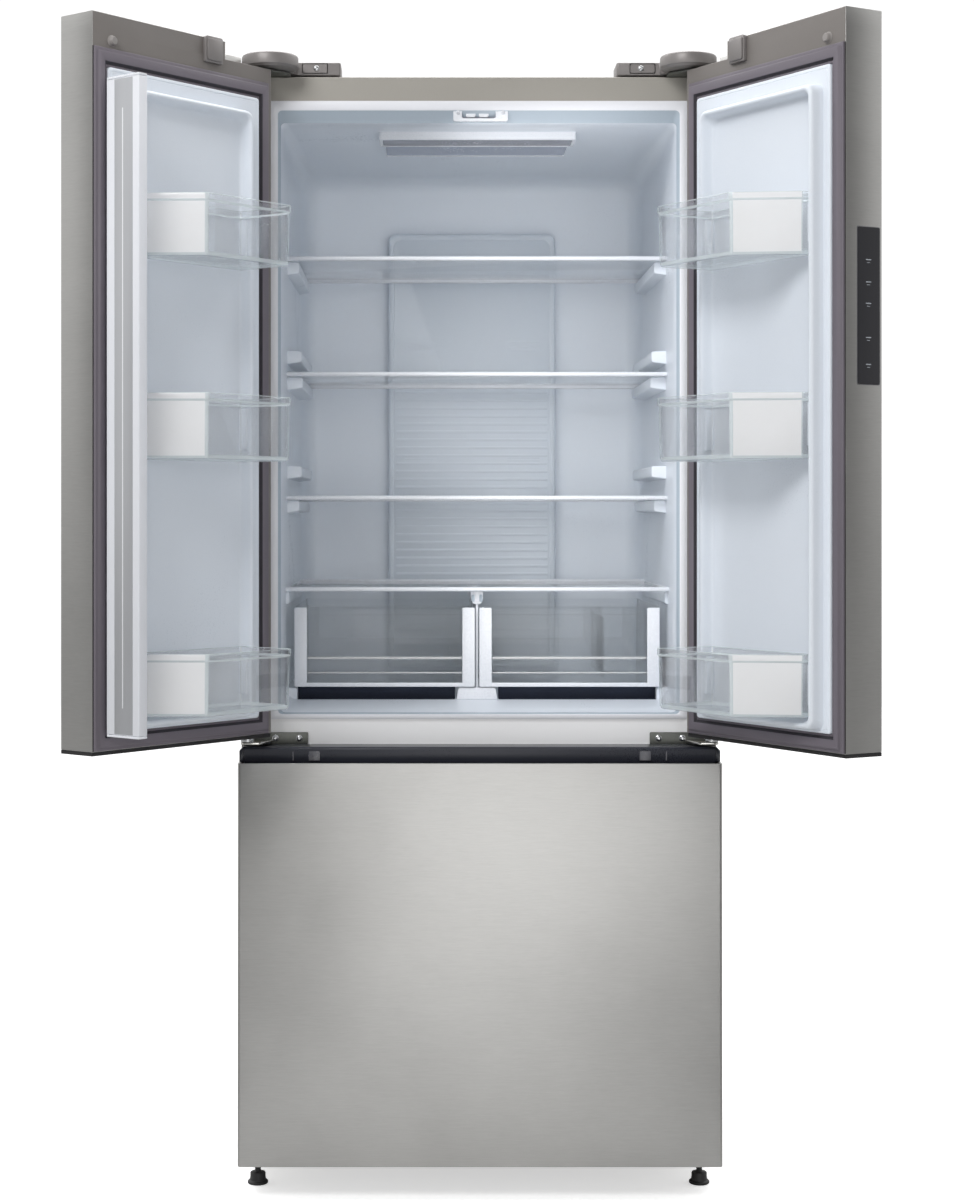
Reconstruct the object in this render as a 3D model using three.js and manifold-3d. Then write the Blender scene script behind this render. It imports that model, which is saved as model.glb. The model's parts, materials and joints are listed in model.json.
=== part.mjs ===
// French door refrigerator with a bottom freezer drawer, millimetres, +Z up.
// Inside the model: x = 0 is the cabinet's centre plane, y = 0 the cabinet's front
// plane with +y to the rear, and z = 0 the floor. The doors stand open at rest.
import * as THREE from "three";
import { mergeVertices } from "three/addons/utils/BufferGeometryUtils.js";
import Module from "manifold-3d";

const wasm = await Module();
wasm.setup();

// ---- driving dimensions -------------------------------------------------
const GAP = 0.3; // between pieces that touch
const CABINET = { half: 381, depth: 624, top: 1781, bottom: 46, sheet: 1.2 };
const LINER = { half: 320, floor: 757, ceiling: 1710, back: 559, wall: 2.5 };
const FREEZER = { half: 312, floor: 95, ceiling: 655, back: 515, stepZ: 335, stepY: 372, wall: 2.5 };
const FLANGE = { half: 335.5, top: 1740.5, thick: 2 }; // white front rim of the liners
const RAIL = { bottom: 706, top: 752.5 }; // cross rail between the two compartments
const DOOR = { width: 379, thick: 70, top: 1808, bottom: 728, cap: 5.5, stand: 10, skin: 1.6 };
const PIVOT = { side: 13.5, depth: 38.5, pin: 6, bore: 6.5 }; // hinge pin in the door
const OPEN = { left: 129, right: 120 }; // degrees from closed, at rest
const NOTCH = { width: 103, floor: 1780.5, skin: 5 }; // hinge pocket in each door's top
const GASKET = { near: 10, far: 377, bottom: 734, top: 1757, thick: 8.9 };
const PANEL = { near: 36, far: 355, bottom: 761, top: 1729, thick: 8.5 }; // door liner plate
const DIKE = { near: 66, far: 341, bottom: 764, top: 1704, tall: 30, ridge: 12 };
const BINS = { upper: [1455, 1547], middle: [1159, 1256], lower: [783, 875] };
const FLAP = { near: 352, far: 370, base: 16, tip: 87, bottom: 757.5, top: 1702 };
const GUIDE = { x: [-41, 47], depth: 55, bottom: 1710, top: 1738.5 };
const SHELF = { half: 317, front: 132, back: 498, levels: { upper: 1505.6, middle: 1313, lower: 1107 } };
const COVER = { front: 108, z: 955.4 }; // glass over the crispers
const CRISPER = { inner: 3.2, outer: 303.6, front: 122, back: 500, bottom: 793, top: 926, wall: 2.5 };
const DRAWER = { front: -80, back: -10, bottom: 54, top: 688, half: 381, skin: 1.6 };
const GRIP = { front: -63, back: -12, top: 712, floor: 655, lip: 5 };
const MACHINE = { front: 430, top: 285 }; // compressor compartment, open to the rear
const FOOT = { x: 356, y: 20, pad: 16.5, stem: 5 };
const ROLLER = { x: 330, y: 560, radius: 20, width: 16, axle: 4 };

// ---- solids ------------------------------------------------------------
function solid(geometry) {
  const bare = geometry.index ? geometry.toNonIndexed() : geometry.clone();
  for (const name of Object.keys(bare.attributes)) {
    if (name !== "position") bare.deleteAttribute(name);
  }
  const merged = mergeVertices(bare, 1e-4);
  return new wasm.Manifold(
    new wasm.Mesh({
      numProp: 3,
      vertProperties: new Float32Array(merged.attributes.position.array),
      triVerts: new Uint32Array(merged.index.array),
    }),
  );
}

function geometryOf(body) {
  const mesh = body.getMesh();
  const geometry = new THREE.BufferGeometry();
  geometry.setAttribute("position", new THREE.BufferAttribute(mesh.vertProperties, 3));
  geometry.setIndex(new THREE.BufferAttribute(mesh.triVerts, 1));
  geometry.computeVertexNormals();
  return geometry;
}

// Box from its lowest to its highest corner.
function box(x0, x1, y0, y1, z0, z1) {
  const geometry = new THREE.BoxGeometry(x1 - x0, y1 - y0, z1 - z0);
  geometry.translate((x0 + x1) / 2, (y0 + y1) / 2, (z0 + z1) / 2);
  return solid(geometry);
}

// A plan outline (x, y) raised from z0 to z1.
function prism(shape, z0, z1, curveSegments = 3) {
  const geometry = new THREE.ExtrudeGeometry(shape, { depth: z1 - z0, bevelEnabled: false, curveSegments });
  geometry.translate(0, 0, z0);
  return solid(geometry);
}

// A front outline (x, z) with its depth from y0 to y1.
function slab(shape, y0, y1, curveSegments = 3) {
  const geometry = new THREE.ExtrudeGeometry(shape, { depth: y1 - y0, bevelEnabled: false, curveSegments });
  geometry.rotateX(Math.PI / 2);
  geometry.translate(0, y1, 0);
  return solid(geometry);
}

function outline(points) {
  return new THREE.Shape(points.map(([x, y]) => new THREE.Vector2(x, y)));
}

function roundedRect(x0, x1, y0, y1, r) {
  const shape = new THREE.Shape();
  shape.moveTo(x0 + r, y0);
  shape.lineTo(x1 - r, y0).absarc(x1 - r, y0 + r, r, -Math.PI / 2, 0);
  shape.lineTo(x1, y1 - r).absarc(x1 - r, y1 - r, r, 0, Math.PI / 2);
  shape.lineTo(x0 + r, y1).absarc(x0 + r, y1 - r, r, Math.PI / 2, Math.PI);
  shape.lineTo(x0, y0 + r).absarc(x0 + r, y0 + r, r, Math.PI, 1.5 * Math.PI);
  return shape;
}

// Upright cylinder.
function post(x, y, z0, z1, radius, sides = 16) {
  const geometry = new THREE.CylinderGeometry(radius, radius, z1 - z0, sides);
  geometry.rotateX(Math.PI / 2);
  geometry.translate(x, y, (z0 + z1) / 2);
  return solid(geometry);
}

// Cylinder lying along X, or along Y.
function barX(x0, x1, y, z, radius, sides = 16) {
  const geometry = new THREE.CylinderGeometry(radius, radius, x1 - x0, sides);
  geometry.rotateZ(Math.PI / 2);
  geometry.translate((x0 + x1) / 2, y, z);
  return solid(geometry);
}

function barY(x, y0, y1, z, radius, sides = 16) {
  const geometry = new THREE.CylinderGeometry(radius, radius, y1 - y0, sides);
  geometry.translate(x, (y0 + y1) / 2, z);
  return solid(geometry);
}

function join(...bodies) {
  return bodies.reduce((whole, body) => whole.add(body));
}

function cut(body, ...tools) {
  return tools.reduce((whole, tool) => whole.subtract(tool), body);
}

// Open-topped tub with rounded upright corners.
function tub(x0, x1, y0, y1, z0, z1, wall, radius) {
  return cut(
    prism(roundedRect(x0, x1, y0, y1, radius), z0, z1),
    prism(roundedRect(x0 + wall, x1 - wall, y0 + wall, y1 - wall, radius - wall), z0 + wall, z1 + 1),
  );
}

// ---- scene graph --------------------------------------------------------
const model = new THREE.Group();
const cabinet = new THREE.Group();
model.add(cabinet);

function finish(color, roughness, metalness, opacity = 1) {
  return new THREE.MeshStandardMaterial({ color, roughness, metalness, opacity, transparent: opacity < 1 });
}

const MATERIAL = {
  steel: finish(0xb4b2ad, 0.35, 0.85),
  flange: finish(0xa09c92, 0.55, 0.5),
  white: finish(0xe9ecf0, 0.4, 0),
  foam: finish(0xe6dcae, 0.9, 0),
  clear: finish(0xe4efec, 0.1, 0, 0.35),
  glass: finish(0xd8e6e2, 0.05, 0, 0.35),
  charcoal: finish(0x2a2c35, 0.4, 0.1),
  black: finish(0x101014, 0.25, 0),
  grey: finish(0x7c7674, 0.6, 0),
  rubber: finish(0x6e6a72, 0.8, 0),
  galvanised: finish(0x9a9c9e, 0.45, 0.8),
  aluminium: finish(0xc3c6c8, 0.4, 0.8),
  enamel: finish(0x17181a, 0.35, 0.2),
};

function add(parent, name, body, material) {
  const mesh = new THREE.Mesh(geometryOf(body), material);
  mesh.name = name;
  parent.add(mesh);
  return mesh;
}

// ---- cabinet -----------------------------------------------------------
function cabinetShell() {
  const { half, depth, top, bottom, sheet } = CABINET;
  const wrap = cut(
    box(-half, half, 0, depth, bottom, top),
    box(-half + sheet, half - sheet, -1, depth + 1, bottom - 1, top - sheet),
  );
  const rim = cut(
    box(-half, half, 0, sheet, bottom, top),
    box(-FLANGE.half - GAP, FLANGE.half + GAP, -1, sheet + 1, bottom - 1, FLANGE.top + GAP),
  );
  return join(wrap, rim);
}

// The freezer space is shallower below its step, over the compressor.
function freezerSpace(grow, front) {
  const { half, floor, ceiling, back, stepZ, stepY } = FREEZER;
  return join(
    box(-half - grow, half + grow, front, back + grow, stepZ - grow, ceiling + grow),
    box(-half - grow, half + grow, front, stepY + grow, floor - grow, stepZ + 1),
  );
}

function foamCore() {
  const skin = CABINET.sheet + GAP;
  const grow = LINER.wall + GAP;
  return cut(
    box(
      -CABINET.half + skin, CABINET.half - skin, FLANGE.thick + GAP, CABINET.depth - 2.5,
      CABINET.bottom + 4.5, CABINET.top - skin,
    ),
    box(
      -LINER.half - grow, LINER.half + grow, 0, LINER.back + grow,
      LINER.floor - grow, LINER.ceiling + grow,
    ),
    freezerSpace(FREEZER.wall + GAP, 0),
    guideRoom(),
    box(-CABINET.half, CABINET.half, MACHINE.front, CABINET.depth, CABINET.bottom, MACHINE.top),
  );
}

// Moulded ledges on both side walls: [z below the shelf, depth, projection].
function sideLedge(side, z0, z1, y0, y1, reach) {
  const x0 = LINER.half - reach;
  return side > 0 ? box(x0, LINER.half + 1, y0, y1, z0, z1) : box(-LINER.half - 1, -x0, y0, y1, z0, z1);
}

function guideRoom() {
  const { x, depth, top } = GUIDE;
  return box(x[0] - GAP, x[1] + GAP, -1, depth + GAP, LINER.ceiling - 5, top + GAP);
}

function fridgeLiner() {
  const { half, floor, ceiling, back, wall } = LINER;
  let body = join(
    box(-half - wall, half + wall, 0, back + wall, floor - wall, ceiling + wall),
    box(-FLANGE.half, FLANGE.half, 0, FLANGE.thick, RAIL.top + GAP, FLANGE.top),
  );
  body = cut(body, box(-half, half, -1, back, floor, ceiling), guideRoom());
  for (const side of [-1, 1]) {
    for (const level of Object.values(SHELF.levels)) {
      body = body.add(sideLedge(side, level - 22, level - 4, SHELF.front + 14, SHELF.back - 10, 26));
    }
    for (const spare of [1342, 1150]) {
      body = body.add(sideLedge(side, spare - 9, spare + 9, SHELF.front + 14, SHELF.back - 10, 26));
    }
    body = body.add(sideLedge(side, COVER.z - 22, COVER.z - 4, COVER.front + 14, SHELF.back, 10));
    body = body.add(sideLedge(side, floor, CRISPER.bottom - 1, CRISPER.front + 6, CRISPER.back, 24));
  }
  return body;
}

function freezerLiner() {
  const { half, wall, stepZ } = FREEZER;
  const rim = box(-FLANGE.half, FLANGE.half, 0, FLANGE.thick, 60, RAIL.bottom - GAP);
  const body = cut(join(freezerSpace(wall, 0), rim), freezerSpace(0, -1));
  const ledges = [-1, 1].map((side) => {
    const [x0, x1] = side > 0 ? [308, half + 1] : [-half - 1, -308];
    return box(x0, x1, 6, 505, stepZ + 1, stepZ + 6.7);
  });
  return join(body, ...ledges);
}

function airDuctCover() {
  let body = slab(roundedRect(-153.6, 153.6, 800, 1596, 12), LINER.back - 34, LINER.back - GAP);
  for (const z of [1180, 1390, 1545]) {
    for (const side of [-1, 1]) {
      body = cut(body, box(side * 95 - 30, side * 95 + 30, 500, LINER.back - 6, z - 5, z + 5));
    }
  }
  return body;
}

function ceilingLamp() {
  return cut(
    box(-162, 162, 79, 256, 1694, LINER.ceiling - GAP),
    box(-154, 154, 85, 151, 1690, 1696),
  );
}

// Pocket in the ceiling's front edge, where the flap's top pin runs as the left door shuts.
function mullionGuide() {
  const { x, depth, bottom, top } = GUIDE;
  return cut(
    box(x[0], x[1], -0.3, depth, bottom, top),
    box(x[0] + 13, x[1] - 19, -2, depth - 5, bottom - 1, top - 11),
  );
}

// Glass plate with its front and rear trims.
function shelf(level, front, back, half) {
  return join(
    box(-half, half, front + 8, back - 8, level - 2, level + 2),
    box(-half, half, front, front + 12, level - 3.5, level + 3.5),
    box(-half, half, back - 10, back, level - 3.5, level + 6),
  );
}

// Upright wall between the crispers, with a clip under the glass and a foot on the floor.
function crisperSupport() {
  const clear = CRISPER.inner - 1.2;
  return join(
    box(-clear, clear, CRISPER.front + 4, CRISPER.back - 10, LINER.floor + GAP, COVER.z - 4),
    box(-10, 10, CRISPER.front + 4, CRISPER.back - 10, CRISPER.top + 4, COVER.z - 4),
    box(-34, 34, CRISPER.front + 4, CRISPER.back - 10, LINER.floor + GAP, CRISPER.bottom - 1),
  );
}

function crisper(side) {
  const { inner, outer, front, back, bottom, top, wall } = CRISPER;
  const x0 = side > 0 ? inner : -outer;
  const x1 = side > 0 ? outer : -inner;
  const window = box(x0 + 24, x1 - 24, front - 2, front + 1.2, bottom + 12, top - 14);
  return cut(tub(x0, x1, front, back, bottom, top, wall, 8), window);
}

function rearPanel() {
  return box(-378, 378, CABINET.depth - 2, CABINET.depth, MACHINE.top + 2, CABINET.top - 2.5);
}

function machineCover() {
  const panel = slab(roundedRect(-376, 376, 60, MACHINE.top - 1, 6), CABINET.depth - 2, CABINET.depth);
  const slots = [];
  for (let i = 0; i < 9; i++) {
    slots.push(box(-320 + i * 70, -290 + i * 70, 600, 640, 90, 180));
  }
  slots.push(box(268, 332, 600, 640, 208, 262));
  return cut(panel, ...slots);
}

function powerInlet() {
  return cut(box(270, 330, 598, 626, 210, 260), box(282, 318, 612, 640, 222, 248));
}

// Pan under the cabinet with stem holes for the feet and forks for the rollers.
function baseFrame() {
  const { bottom, depth } = CABINET;
  const z1 = bottom + 4;
  let body = box(-378, 378, 4, depth - 4, bottom, z1);
  for (const side of [-1, 1]) {
    for (const ear of [-1, 1]) {
      const x = side * ROLLER.x + ear * (ROLLER.width / 2 + 4);
      body = body.add(box(x - 1.5, x + 1.5, ROLLER.y - 14, ROLLER.y + 14, ROLLER.radius - 9, z1));
    }
    body = cut(
      body,
      post(side * FOOT.x, FOOT.y, 0, 100, FOOT.stem + 0.5),
      barX(side * ROLLER.x - 30, side * ROLLER.x + 30, ROLLER.y, ROLLER.radius, ROLLER.axle + 0.4),
      box(
        side * ROLLER.x - ROLLER.width / 2 - 2, side * ROLLER.x + ROLLER.width / 2 + 2,
        ROLLER.y - ROLLER.radius - 3, ROLLER.y + ROLLER.radius + 3, bottom - 1, z1 + 1,
      ),
    );
  }
  return body;
}

function foot(side) {
  const x = side * FOOT.x;
  return join(
    post(x, FOOT.y, 0, 13, FOOT.pad, 12),
    post(x, FOOT.y, 12.5, 19, FOOT.pad - 4, 6),
    post(x, FOOT.y, 18, CABINET.bottom + 3, FOOT.stem),
  );
}

function roller(side) {
  const x = side * ROLLER.x;
  return join(
    barX(x - ROLLER.width / 2, x + ROLLER.width / 2, ROLLER.y, ROLLER.radius, ROLLER.radius, 24),
    barX(x - 17, x + 17, ROLLER.y, ROLLER.radius, ROLLER.axle),
  );
}

function compressor() {
  const outlinePoints = [[0, 52], [86, 52], [86, 56], [70, 60], [72, 90], [72, 170], [64, 198], [40, 212], [0, 216]];
  const geometry = new THREE.LatheGeometry(outlinePoints.map(([r, z]) => new THREE.Vector2(r, z)), 24);
  geometry.rotateX(Math.PI / 2);
  geometry.translate(-190, 525, 0);
  return solid(geometry);
}

// Finned coil block with its fan shroud in front of it.
function condenser() {
  const fins = [];
  for (let i = 0; i < 7; i++) fins.push(box(95 + i * 24, 107 + i * 24, 460, 605, 60, 190));
  const coil = cut(box(83, 275, 470, 600, 52, 205), ...fins);
  const shroud = cut(box(48, 84, 466, 604, 52, 209), box(51, 90, 470, 600, 56, 205));
  return cut(coil.add(shroud), barX(40, 60, 535, 131, 62, 24));
}

// Hub with blades that are simple pitched plates, spinning about X or about Y.
function fan(axis, x, y, z, radius, blades) {
  const hub = new THREE.CylinderGeometry(radius * 0.3, radius * 0.3, 16, 16);
  let body = solid(hub);
  for (let i = 0; i < blades; i++) {
    const blade = new THREE.BoxGeometry(radius * 0.75, 3, radius * 0.42);
    blade.rotateX(0.5);
    blade.translate(radius * 0.6, 0, 0);
    blade.rotateY((i * 2 * Math.PI) / blades);
    body = body.add(solid(blade));
  }
  const turned = axis === "x" ? body.rotate([0, 0, 90]) : body;
  return turned.translate([x, y, z]);
}

function drainPan() {
  return tub(-285, -95, 450, 606, 232, 262, 3, 10);
}

function evaporator() {
  const fins = [];
  for (let i = 0; i < 8; i++) fins.push(box(-232 + i * 60, -188 + i * 60, 450, 520, 368, 500));
  return cut(box(-250, 250, 466, 508, 356, 512), ...fins);
}

function evaporatorCover() {
  const panel = slab(roundedRect(-294, 294, 345, 652, 8), 438, 442);
  const slots = [];
  for (const z of [360, 380, 400]) slots.push(box(-200, 200, 430, 450, z, z + 8));
  return cut(panel, ...slots, barY(0, 430, 450, 588, 40, 20));
}

// ---- hinges ------------------------------------------------------------
const pinX = CABINET.half - PIVOT.side;
const pinY = -DOOR.stand - PIVOT.depth;

function topHinge(side) {
  const z = CABINET.top + GAP;
  const xs = [side * 376, side * 300];
  const plate = box(Math.min(...xs), Math.max(...xs), -58, 70, z, z + 3.4);
  return join(plate, post(side * pinX, pinY, DOOR.top - 52, z + 1, PIVOT.pin));
}

function hingeCover(side) {
  const z0 = CABINET.top + 4.2;
  const span = (a, b) => [Math.min(side * a, side * b), Math.max(side * a, side * b)];
  const [bodyLow, bodyHigh] = span(370, 291);
  const [boxLow, boxHigh] = span(298, 222);
  const pocket = span(283, 244);
  const screw = span(270, 258);
  return cut(
    join(
      post(side * 333, -28, z0, 1809, 45, 32),
      box(bodyLow, bodyHigh, -28, 74, z0, 1806),
      box(boxLow, boxHigh, 8, 74, z0, 1806),
    ),
    box(pocket[0], pocket[1], 0, 22, 1789, 1803),
  ).add(box(screw[0], screw[1], 20, 24, 1792, 1800));
}

// Plate on the cross rail, an arm under the door and the door's lower pin.
function middleHinge(side) {
  const plateX = [side * 376, side * 274].sort((a, b) => a - b);
  const armX = [side * 378, side * 330].sort((a, b) => a - b);
  return join(
    box(plateX[0], plateX[1], -4.6, -1.4, 707, 730),
    box(armX[0], armX[1], -62, -3, 715, 719),
    post(side * pinX, pinY, 718, 727.2, 10, 24),
    post(side * pinX, pinY, 718, 752, PIVOT.pin),
  );
}

// ---- doors -------------------------------------------------------------
// Inside a door, s runs from the hinge side to the free edge, and n from the door's
// inner face towards the cabinet. side is -1 for the left door and 1 for the right.
function doorPlan(side) {
  const x = (s) => -side * (s - PIVOT.side);
  const y = (n) => n + PIVOT.depth;
  return {
    block: (s0, s1, n0, n1, z0, z1) =>
      box(Math.min(x(s0), x(s1)), Math.max(x(s0), x(s1)), y(n0), y(n1), z0, z1),
    raise: (points, z0, z1) => prism(outline(points.map(([s, n]) => [x(s), y(n)])), z0, z1),
    post: (s, n, z0, z1, radius, sides) => post(x(s), y(n), z0, z1, radius, sides),
    place: (s, n) => [x(s), y(n)],
  };
}

// Folded steel tray, open behind the liner, with a bush for each hinge pin.
function doorShell(plan, side) {
  const { width, thick, top, bottom, cap, skin } = DOOR;
  const r = 4;
  const z0 = bottom + cap + GAP;
  const outer = plan.raise(
    [[0, 0], [width, 0], [width, -thick + r], [width - r, -thick], [r, -thick], [0, -thick + r]], z0, top,
  );
  const notch = plan.block(-1, NOTCH.width, -thick + NOTCH.skin, 1, NOTCH.floor, top + 1);
  const hollow = cut(
    plan.raise(
      [[skin, -skin], [width - skin, -skin], [width - skin, -thick + r + 1], [width - r - 1, -thick + skin],
        [r + 1, -thick + skin], [skin, -thick + r + 1]],
      z0 + skin, top - skin,
    ),
    plan.block(-1, NOTCH.width + skin, -thick + NOTCH.skin - skin, 1, NOTCH.floor - skin, top + 1),
    plan.post(PIVOT.side, -PIVOT.depth, top - 58, top, 13),
    plan.post(PIVOT.side, -PIVOT.depth, z0 - 1, bottom + 30, 13),
  );
  let body = cut(
    outer, notch, hollow,
    plan.block(PANEL.near + 5, PANEL.far - 5, -skin - 1, 1, PANEL.bottom + 5, PANEL.top - 5),
    plan.post(PIVOT.side, -PIVOT.depth, top - 56, top, PIVOT.bore),
    plan.post(PIVOT.side, -PIVOT.depth, bottom - 1, bottom + 28, PIVOT.bore),
  );
  const lug = plan.block(114, 152, -1, 8.5, 1769, top + 1.5);
  const bumper = plan.raise(
    [[334, -1], [348, -1], [348, 5], [345, 8], [337, 8], [334, 5]], 1762, 1776,
  );
  body = join(body, lug, bumper);
  if (side > 0) body = cut(body, plan.block(width - 5, width + 1, -64.5, -19.5, 1264.5, 1494.5));
  return body;
}

function doorCap(plan) {
  return cut(
    plan.block(1, DOOR.width - 1, -DOOR.thick + 2, -1.5, DOOR.bottom, DOOR.bottom + DOOR.cap),
    plan.post(PIVOT.side, -PIVOT.depth, DOOR.bottom - 1, DOOR.bottom + 28, PIVOT.bore),
  );
}

function doorGasket(plan) {
  const { near, far, bottom, top, thick } = GASKET;
  return cut(
    plan.block(near, far, GAP, GAP + thick, bottom, top),
    plan.block(PANEL.near - GAP, PANEL.far + GAP, -1, 20, PANEL.bottom - GAP, PANEL.top + GAP),
  );
}

// Flat plate inside the gasket, with a raised ridge around a shallow recess.
function doorLiner(plan, side) {
  const far = side < 0 ? 338 : DIKE.far;
  const { near, bottom, top, tall, ridge } = DIKE;
  const plate = plan.block(PANEL.near, PANEL.far, GAP, PANEL.thick, PANEL.bottom, PANEL.top);
  const raised = plan.block(near, far, PANEL.thick - 1, tall, bottom, top);
  const recess = plan.block(near + ridge, far - ridge, 6, tall + 1, bottom + ridge, top - 4);
  return cut(join(plate, raised), recess);
}

// Bin outline: square to the door at the hinge side, slanting in at the free side.
const binOutline = [[80, 7], [80, 36], [76, 42], [76, 112], [84, 120], [250, 120], [262, 112], [324, 34], [324, 7]];
const binHollow = [[82.5, 9.5], [82.5, 35], [78.5, 41], [78.5, 111], [85, 117.5], [249, 117.5], [260.5, 110], [321.5, 33], [321.5, 9.5]];

function doorBin(plan, [bottom, top]) {
  return cut(plan.raise(binOutline, bottom, top), plan.raise(binHollow, bottom + 2.5, top + 1));
}

// The flap that closes the gap between the doors, folded back at rest.
function mullionFlap(plan) {
  const { near, far, base, tip, bottom, top } = FLAP;
  return join(
    plan.raise([[near, base], [far - 5, base], [far, base + 5], [far, tip], [near, tip]], bottom, top),
    plan.post(361, base + 36, top - 1, top + 20, 4, 12),
  );
}

function hingedDoor(side) {
  const label = side < 0 ? "left" : "right";
  const plan = doorPlan(side);
  const door = new THREE.Group();
  door.position.set(side * pinX, pinY, 0);
  door.rotation.z = side * THREE.MathUtils.degToRad(OPEN[label]);
  cabinet.add(door);
  add(door, `${label}_door_shell`, doorShell(plan, side), MATERIAL.steel);
  add(door, `${label}_door_bottom_cap`, doorCap(plan), MATERIAL.black);
  add(door, `${label}_door_gasket`, doorGasket(plan), MATERIAL.rubber);
  add(door, `${label}_door_liner`, doorLiner(plan, side), MATERIAL.white);
  for (const [level, heights] of Object.entries(BINS)) {
    add(door, `${label}_${level}_door_bin`, doorBin(plan, heights), MATERIAL.clear);
  }
  if (side < 0) {
    add(door, "mullion_flap", mullionFlap(plan), MATERIAL.white);
  } else {
    const panel = plan.block(DOOR.width - 3.6, DOOR.width + 0.5, -64, -20, 1265, 1494);
    add(door, "control_panel", panel, MATERIAL.black);
  }
}

// ---- freezer drawer ----------------------------------------------------
// Folded steel tray with a recess along its top for the grip, open behind the liner.
function drawerFront() {
  const { front, back, bottom, top, half, skin } = DRAWER;
  const r = 4;
  const outline3 = (inset) => outline([
    [-half + inset, back - inset], [-half + inset, front + r + inset / 2], [-half + r + inset / 2, front + inset],
    [half - r - inset / 2, front + inset], [half - inset, front + r + inset / 2], [half - inset, back - inset],
  ]);
  const recess = (grow) =>
    box(-376 - grow, 376 + grow, front + GRIP.lip - grow, GRIP.back - 12 + grow, GRIP.floor - grow, top + 1);
  return cut(
    prism(outline3(0), bottom, top),
    recess(0),
    cut(prism(outline3(skin), bottom + skin, top - skin), recess(skin)),
    box(-298, 298, back - 4, back + 1, 100, 646),
  );
}

// Black channel behind the drawer's top edge: a floor, a curved back and a top ledge.
function gripTrim() {
  const front = DRAWER.front + GRIP.lip + GAP;
  const section = [
    [front, GRIP.floor + GAP], [GRIP.back - 12 - GAP, GRIP.floor + GAP],
    [GRIP.back - 12 - GAP, DRAWER.top + GAP], [GRIP.back, DRAWER.top + GAP], [GRIP.back, GRIP.top],
    [GRIP.front + 3, GRIP.top], [GRIP.front, GRIP.top - 3], [GRIP.front + 5, DRAWER.top - 4],
    [GRIP.front + 4, 672], [GRIP.front - 3, 662], [front + 3, 659], [front + 3, 672], [front, 672],
  ];
  const geometry = new THREE.ExtrudeGeometry(outline(section), { depth: 750, bevelEnabled: false });
  // The section's first axis is y and its second is z, swept along x.
  geometry.applyMatrix4(new THREE.Matrix4().makeBasis(
    new THREE.Vector3(0, 1, 0), new THREE.Vector3(0, 0, 1), new THREE.Vector3(1, 0, 0),
  ));
  geometry.translate(-375, 0, 0);
  return solid(geometry);
}

function drawerGasket() {
  const y0 = DRAWER.back + GAP;
  return cut(box(-334, 334, y0, y0 + 8.9, 62, 684), box(-314, 314, -20, 10, 84, 662));
}

function drawerLiner() {
  return box(-308, 308, DRAWER.back + GAP, DRAWER.back + 7, 90, 654);
}

// Side frame that runs on the freezer liner's ledge and carries both baskets.
function drawerRail(side) {
  const span = (near, far) => (side > 0 ? [near, far] : [-far, -near]);
  const [x0, x1] = span(304, 307.5);
  const [s0, s1] = span(298, 307.5);
  const [f0, f1] = span(304, 311);
  const y0 = DRAWER.back + 7 + GAP;
  return join(
    box(x0, x1, 6, 500, 342, 366),
    box(f0, f1, 8, 500, 342, 345),
    box(x0, x1, y0, 8, 342, 366),
    box(x0, x1, y0, 30, 296, 420),
    box(x0, x1, 335, 365, 296, 420),
    box(s0, s1, 8, 365, 296, 300),
    box(s0, s1, 8, 365, 400, 404),
    box(x0, x1, 8, 365, 403, 420),
  );
}

function lowerBasket() {
  return join(
    tub(-290, 290, 12, 362, 106, 302, 3, 14),
    cut(box(-302, 302, 12, 362, 300.5, 304), box(-286, 286, 16, 358, 290, 310)),
  );
}

function upperBasket() {
  return join(
    tub(-290, 290, 20, 330, 372, 500, 3, 14),
    cut(box(-302, 302, 20, 330, 404.5, 408), box(-288, 288, 22, 328, 390, 420)),
  );
}

// ---- assembly ----------------------------------------------------------
function buildCabinet() {
  add(cabinet, "cabinet_shell", cabinetShell(), MATERIAL.flange);
  add(cabinet, "foam_core", foamCore(), MATERIAL.foam);
  add(cabinet, "fridge_liner", fridgeLiner(), MATERIAL.white);
  add(cabinet, "freezer_liner", freezerLiner(), MATERIAL.white);
  const rail = box(-FLANGE.half, FLANGE.half, 0, FLANGE.thick, RAIL.bottom, RAIL.top);
  add(cabinet, "cross_rail", rail, MATERIAL.white);
  add(cabinet, "rear_panel", rearPanel(), MATERIAL.galvanised);
  add(cabinet, "base_frame", baseFrame(), MATERIAL.galvanised);
  add(cabinet, "machine_cover", machineCover(), MATERIAL.galvanised);
  add(cabinet, "power_inlet", powerInlet(), MATERIAL.black);
}

function buildCooling() {
  add(cabinet, "compressor", compressor(), MATERIAL.enamel);
  add(cabinet, "condenser", condenser(), MATERIAL.aluminium);
  add(cabinet, "condenser_fan", fan("x", 28, 535, 131, 58, 5), MATERIAL.charcoal);
  add(cabinet, "drain_pan", drainPan(), MATERIAL.grey);
  add(cabinet, "evaporator", evaporator(), MATERIAL.aluminium);
  add(cabinet, "evaporator_cover", evaporatorCover(), MATERIAL.white);
  add(cabinet, "evaporator_fan", fan("y", 0, 462, 588, 36, 5), MATERIAL.charcoal);
  add(cabinet, "air_duct_cover", airDuctCover(), MATERIAL.white);
}

function buildInterior() {
  add(cabinet, "ceiling_lamp", ceilingLamp(), MATERIAL.white);
  add(cabinet, "mullion_guide", mullionGuide(), MATERIAL.white);
  for (const [label, level] of Object.entries(SHELF.levels)) {
    add(cabinet, `${label}_shelf`, shelf(level, SHELF.front, SHELF.back, SHELF.half), MATERIAL.glass);
  }
  add(cabinet, "crisper_cover", shelf(COVER.z, COVER.front, SHELF.back, SHELF.half + 1), MATERIAL.glass);
  add(cabinet, "crisper_support", crisperSupport(), MATERIAL.white);
  add(cabinet, "left_crisper", crisper(-1), MATERIAL.clear);
  add(cabinet, "right_crisper", crisper(1), MATERIAL.clear);
}

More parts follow.
